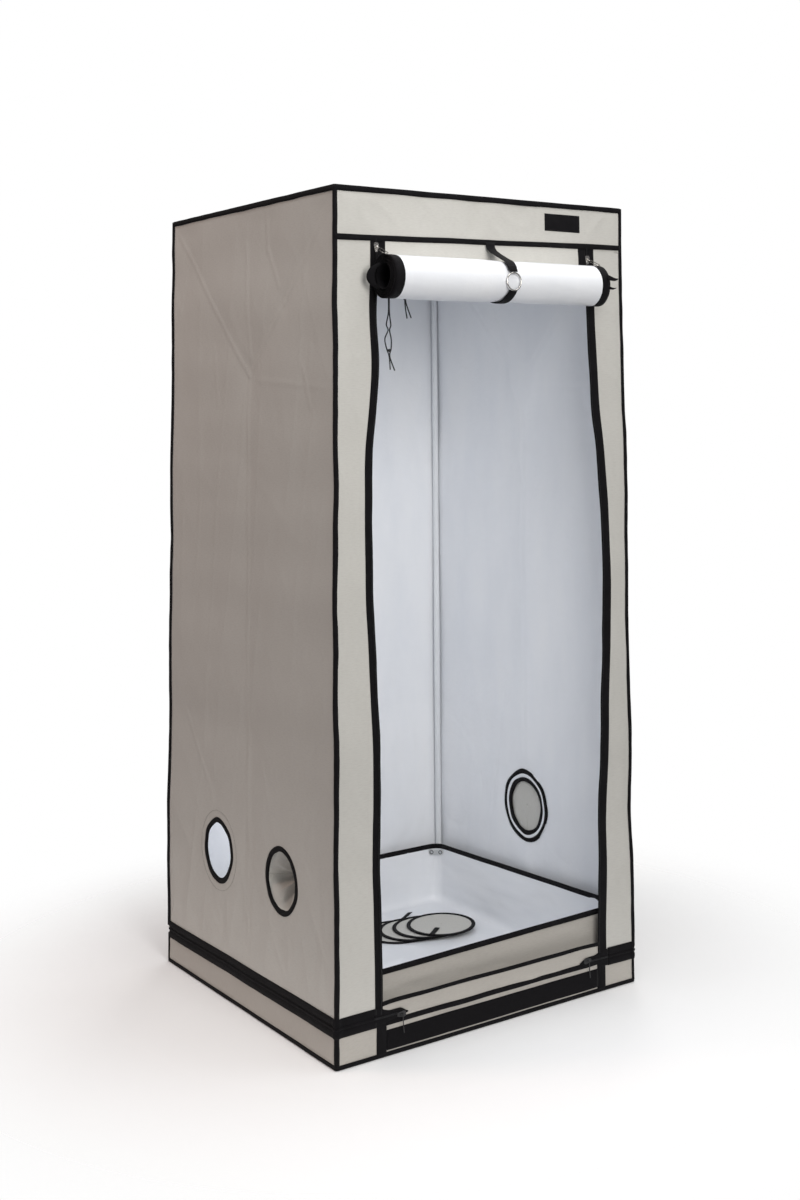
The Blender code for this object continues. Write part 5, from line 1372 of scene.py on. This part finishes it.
def covers():
    """The stack on the tray's floor, then the cover over the right port."""
    for number, turn, tab_from, lean, lift in (
        (1, 0, 0.034, 0, 0.0018), (2, 75, 0.08, 0.8, 0.0033), (3, 0, 0.034, 0, 0.0018), (4, -140, 0.034, 0, 0.0033),
    ):
        low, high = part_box(f"port_cover_{number}")
        centre = vec((low.x + high.x) / 2, (low.y + high.y) / 2, low.z)
        along = vec(*turned(radians(turn)), 0)
        name, node = f"loose_cover_{number}", f"port_cover_{number}"
        cover(name, node, centre, UP, along, tab_from, lean, 130 + number, lift)
    low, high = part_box("port_cover_right")
    centre = vec(low.x, (low.y + high.y) / 2, (low.z + high.z) / 2)
    cover("fitted_cover", "port_cover_right", centre, RIGHT, -UP, 0.034, 0, 137)


# Tray

TRAY_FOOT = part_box("tray")[0].z + 0.0002
TRAY_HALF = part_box("tray")[1].x
TRAY_RIM = 0.158
TRAY_CORNER = 0.03


def rim_height(x, y):
    """The rim hangs from the corners, highest at the front right."""
    across, back = (x / TRAY_HALF + 1) / 2, (y / TRAY_HALF + 1) / 2
    return TRAY_RIM + 0.005 + 0.012 * across - (0.011 + 0.014 * across) * back


def tray():
    """The waterproof tray: glossy white inside, with its corners folded and clipped."""
    stations = loop_stations(TRAY_HALF, TRAY_CORNER, 100, 10)
    rows = [(share, 0.0) for share in (0.0, 0.15, 0.3, 0.45, 0.6, 0.75, 0.88, 0.955, 0.975)]
    rows += [(0.985, 0.02), (0.995, 0.06)] + [(1.0, 0.06 + 0.94 * k / 18) for k in range(1, 19)]

    def shape(place, flat, out, share, rise):
        top = rim_height(*place) - TRAY_FOOT
        fold = 0.0014 * wave(141, 9 * flat.x - 8 * flat.y, 14 * rise)
        fold -= 0.0012 * crinkle(142, 6 * flat.x + 3 * rise, 6 * flat.y)
        fold += 0.0022 * abs(out.x * out.y) * 2 * cos(22 * atan2(out.y, out.x)) * rise
        inward = max(0.0, 0.001 - fold) * ease(rise, 0.03, 0.3) * (1 - ease(rise, 0.93, 1.0))
        floor = (0.0012 + 0.0012 * wave(143, *(flat * 5))) * (1 - ease(share, 0.8, 0.97)) * (rise == 0)
        floor *= 1 - exp(-((flat - vec(0.19, 0.19)).length / 0.12) ** 4)
        return -inward, TRAY_FOOT + top * rise + floor, top * rise

    width, area = 2 * TRAY_HALF + 2 * TRAY_RIM, 4 * TRAY_HALF**2 + 8 * TRAY_HALF * TRAY_RIM
    bowl("tray_sheet", "tray", rows, stations, shape, GLOSSY, 0.0011, width, area, "white_fabric")
    rings = []
    tape = 0.0012
    for place, out in stations:
        a, b = place
        top = rim_height(a, b) + 0.0006 * wave(145, 12 * a - 12 * b)
        deep = 0.01 + 0.0008 * wave(146, 10 * a - 10 * b)
        section = [
            (tape, -deep), (tape + 0.0003, -deep * 0.5), (tape, 0.0004), (0.0, 0.0014), (-0.0014, 0.0014),
            (-0.0014 - tape, 0.0004), (-0.0017 - tape, -deep * 0.5), (-0.0014 - tape, -deep),
            (-0.0014, -deep), (-0.0012, -0.0005), (0.0, -0.0005), (0.0001, -deep),
        ]
        rings.append([vec(*(place + out * o), top + h) for o, h in section])
    sweep("tray_rim_tape", "tray_rim_binding", rings, TAPE, closed=True)
    for x_side, y_side, name in CORNERS:
        tray_clip(f"tray_clip_{name}", x_side, y_side)


CLIP_REACH, CLIP_HOLE = 0.012, 0.0036
EYELET_SECTION = [
    (0.0036, -0.0026), (0.0036, 0.0005), (0.0042, 0.0008), (0.005, 0.0006), (0.0052, 0.0), (0.004, -0.0026),
]


def tray_clip(name, x_side, y_side):
    """A clear clip across a corner of the tray, waisted between its two eyelets."""
    along = vec(x_side, -y_side, 0).normalized()
    inward = vec(-x_side, -y_side, 0).normalized()
    middle = vec(x_side * 0.36, y_side * 0.36, rim_height(x_side * TRAY_HALF, y_side * TRAY_HALF) - 0.018)
    outline = []
    for sign in (1, -1):
        for k in range(17):
            angle = radians(-125 + 250 * k / 16)
            outline.append((sign * (CLIP_REACH + 0.0085 * cos(angle)), sign * 0.0075 * sin(angle)))
    holes = []
    for sign in (-1, 1):
        circle = (turned(2 * pi * k / 20, CLIP_HOLE) for k in range(20))
        holes.append([(sign * CLIP_REACH + a, b) for a, b in circle])
    bm = bmesh.new()
    edges = []
    for loop in (outline, *holes):
        made = [bm.verts.new(middle + along * a + UP * b) for a, b in loop]
        edges += [bm.edges.new(pair) for pair in zip(made, made[1:] + made[:1])]
    bmesh.ops.triangle_fill(bm, edges=edges, use_beauty=True, normal=inward)
    shell = bmesh.ops.extrude_face_region(bm, geom=bm.faces[:])
    moved = [v for v in shell["geom"] if isinstance(v, bmesh.types.BMVert)]
    bmesh.ops.translate(bm, vec=inward * 0.0024, verts=moved)
    bmesh.ops.recalc_face_normals(bm, faces=bm.faces)
    mesh = bpy.data.meshes.new(name)
    bm.to_mesh(mesh)
    bm.free()
    mesh.materials.append(CLEAR)
    clip = fix(add_object(name, mesh), "tray")
    edge = clip.modifiers.new("Soft edges", "BEVEL")
    edge.width = 0.0006
    edge.segments = 2
    edge.limit_method = "ANGLE"
    for sign in (-1, 1):
        centre = middle + along * sign * CLIP_REACH + inward * 0.0024
        axes = (along, UP, inward)
        ring_band(f"{name}_eyelet_{sign + 1}", "tray", centre, axes, EYELET_SECTION, EYELET, steps=28)


# Cords


def cord_curve(name, points, radius, material):
    curve = bpy.data.curves.new(name, "CURVE")
    curve.dimensions = "3D"
    curve.bevel_depth = radius
    curve.bevel_resolution = 4
    curve.use_fill_caps = True
    spline = curve.splines.new("POLY")
    spline.points.add(len(points) - 1)
    for place, point in zip(spline.points, points):
        place.co = (*point, 1)
    curve.materials.append(material)
    return add_object(name, curve)


def drawstring(name, node, routes, knot_share):
    """Both strands of a drawstring, with the knot that ties them."""
    lines = [[UP * TOP + p for p in smooth_through(route, 4)] for route in routes]
    index = round(knot_share * (len(lines[0]) - 1))
    centre = (lines[0][index] + lines[1][index]) / 2
    wraps = []
    for a in (2 * pi * k / 64 for k in range(64)):
        y = 0.0026 * cos(2 * a) * (0.7 + 0.3 * cos(3 * a))
        wraps.append(centre + vec(0.0026 * sin(2 * a), y, 0.0022 * sin(3 * a)))
    rings = []
    for k in range(64):
        along = (wraps[(k + 1) % 64] - wraps[k - 1]).normalized()
        side = along.cross(vec(0.3, 0.2, 1)).normalized()
        lift = along.cross(side)
        circle = (turned(2 * pi * j / 8, CORD_DIAMETER / 2) for j in range(8))
        rings.append([wraps[k] + x * side + y * lift for x, y in circle])
    knot = sweep(f"{name}_knot", node, rings, BRAID, closed=True)
    for letter, line in zip("ab", lines):
        strand = fix(cord_curve(f"{name}_{letter}", line, CORD_DIAMETER / 2, BRAID), node)
        length = sum((b - a).length for a, b in zip(line, line[1:]))
        tuple(line[0])


# Creases of each wall. Each path is x and z in turn, under its depths: that of the valley, then of the ridge
APEX = 1.405
DEEP, SHARP, MILD, FAINT = (0.0036, 0.0016), (0.007, 0.0026), (0.0018, 0.0012), (0.001, 0.0009)
HINT = (0.0006, 0.0006)
SIDE_CREASES = creases(
    (DEEP, (-0.372, 1.765, -0.178, 1.561, -0.004, APEX, -0.006, 1.19, -0.01, 0.14)),
    (
        MILD, (0.386, 1.784, -0.004, APEX), (0.006, 1.708, -0.013, 1.44), (-0.096, 1.787, -0.097, 1.686),
        (-0.016, 0.366, -0.077, 0.27), (-0.33, 0.42, -0.37, 0.16),
    ),
    (
        FAINT, (-0.097, 1.686, -0.153, 1.599), (-0.049, 1.443, -0.049, 1.35),
        (0.31, 1.72, 0.34, 1.601, 0.366, 1.53), (0.166, 1.476, 0.145, 1.34), (-0.301, 1.459, -0.277, 1.389),
        (-0.261, 1.421, -0.293, 1.33), (-0.3, 0.62, -0.2, 0.437), (-0.071, 0.56, -0.138, 0.395),
        (-0.015, 0.6, -0.016, 0.366), (0.3, 0.6, 0.16, 0.43), (0.166, 0.223, 0.11, 0.16),
        (0.135, 0.222, -0.045, 0.199), (-0.08, 0.228, -0.197, 0.19), (-0.257, 0.386, -0.3, 0.34),
        (0.255, 0.272, 0.29, 0.19), (0.007, 0.24, 0.002, 0.14),
    ),
    (HINT, (-0.058, 1.393, -0.37, 1.371)),
)
RIGHT_CREASES = creases(
    (SHARP, (-0.39, 1.79, -0.005, 1.39, 0.005, 0.13), (0.39, 1.79, -0.005, 1.39)),
    (MILD, (-0.39, 1.37, -0.005, 1.38), (0.18, 1.72, 0.06, 1.5), (-0.1, 1.72, -0.2, 1.48)),
)
REAR_CREASES = creases(
    (DEEP, (-0.39, 1.79, 0.0, APEX, 0.0, 0.13), (0.39, 1.79, 0.0, APEX)),
    (FAINT, (-0.39, 0.9, 0.39, 0.9)),
)
FINISHES = {
    STEEL: ("corner_pole", "top_rail", "base_rail", "equipment_bar"),
    PLASTIC: ("top_corner", "base_corner", "base_zip_slider"),
    METAL: ("door_zip_slider", "door_zip_puller"),
}

add_camera()
drawstring("long_cord", "drawstring_long", LONG_CORDS, LONG_KNOT_SHARE)
drawstring("short_cord", "drawstring_short", SHORT_CORDS, SHORT_KNOT_SHARE)
add_lights()
add_floor()
wall("left_wall", -1, True, SIDE_CREASES, [LEFT_REAR_PORT, LEFT_FRONT_PORT], 11, 0.0054)
wall("right_wall", 1, True, RIGHT_CREASES, [RIGHT_PORT], 18, 0.006)
wall("rear_wall", 1, False, REAR_CREASES, [], 25, 0.008)
post("left_post", -1, LEFT_EDGE, 27)
post("right_post", 1, RIGHT_EDGE, 29)
header()
label_patch()
roof()
upper_tapes()
base_band()
tub()
lip()
foot_tapes()
door_tapes()
door_roll()
door_sheet()
door_flaps()
strap()
port("left_rear_port", -1, LEFT_REAR_PORT)
port("left_front_port", -1, LEFT_FRONT_PORT, 113)
port("right_port", 1, RIGHT_PORT)
roof_port()
covers()
tray()

for name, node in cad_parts.items():
    for finish, starts in FINISHES.items():
        if name.startswith(starts):
            node.data.materials.clear()
            node.data.materials.append(finish)

bpy.context.scene.view_settings.view_transform = "Standard"
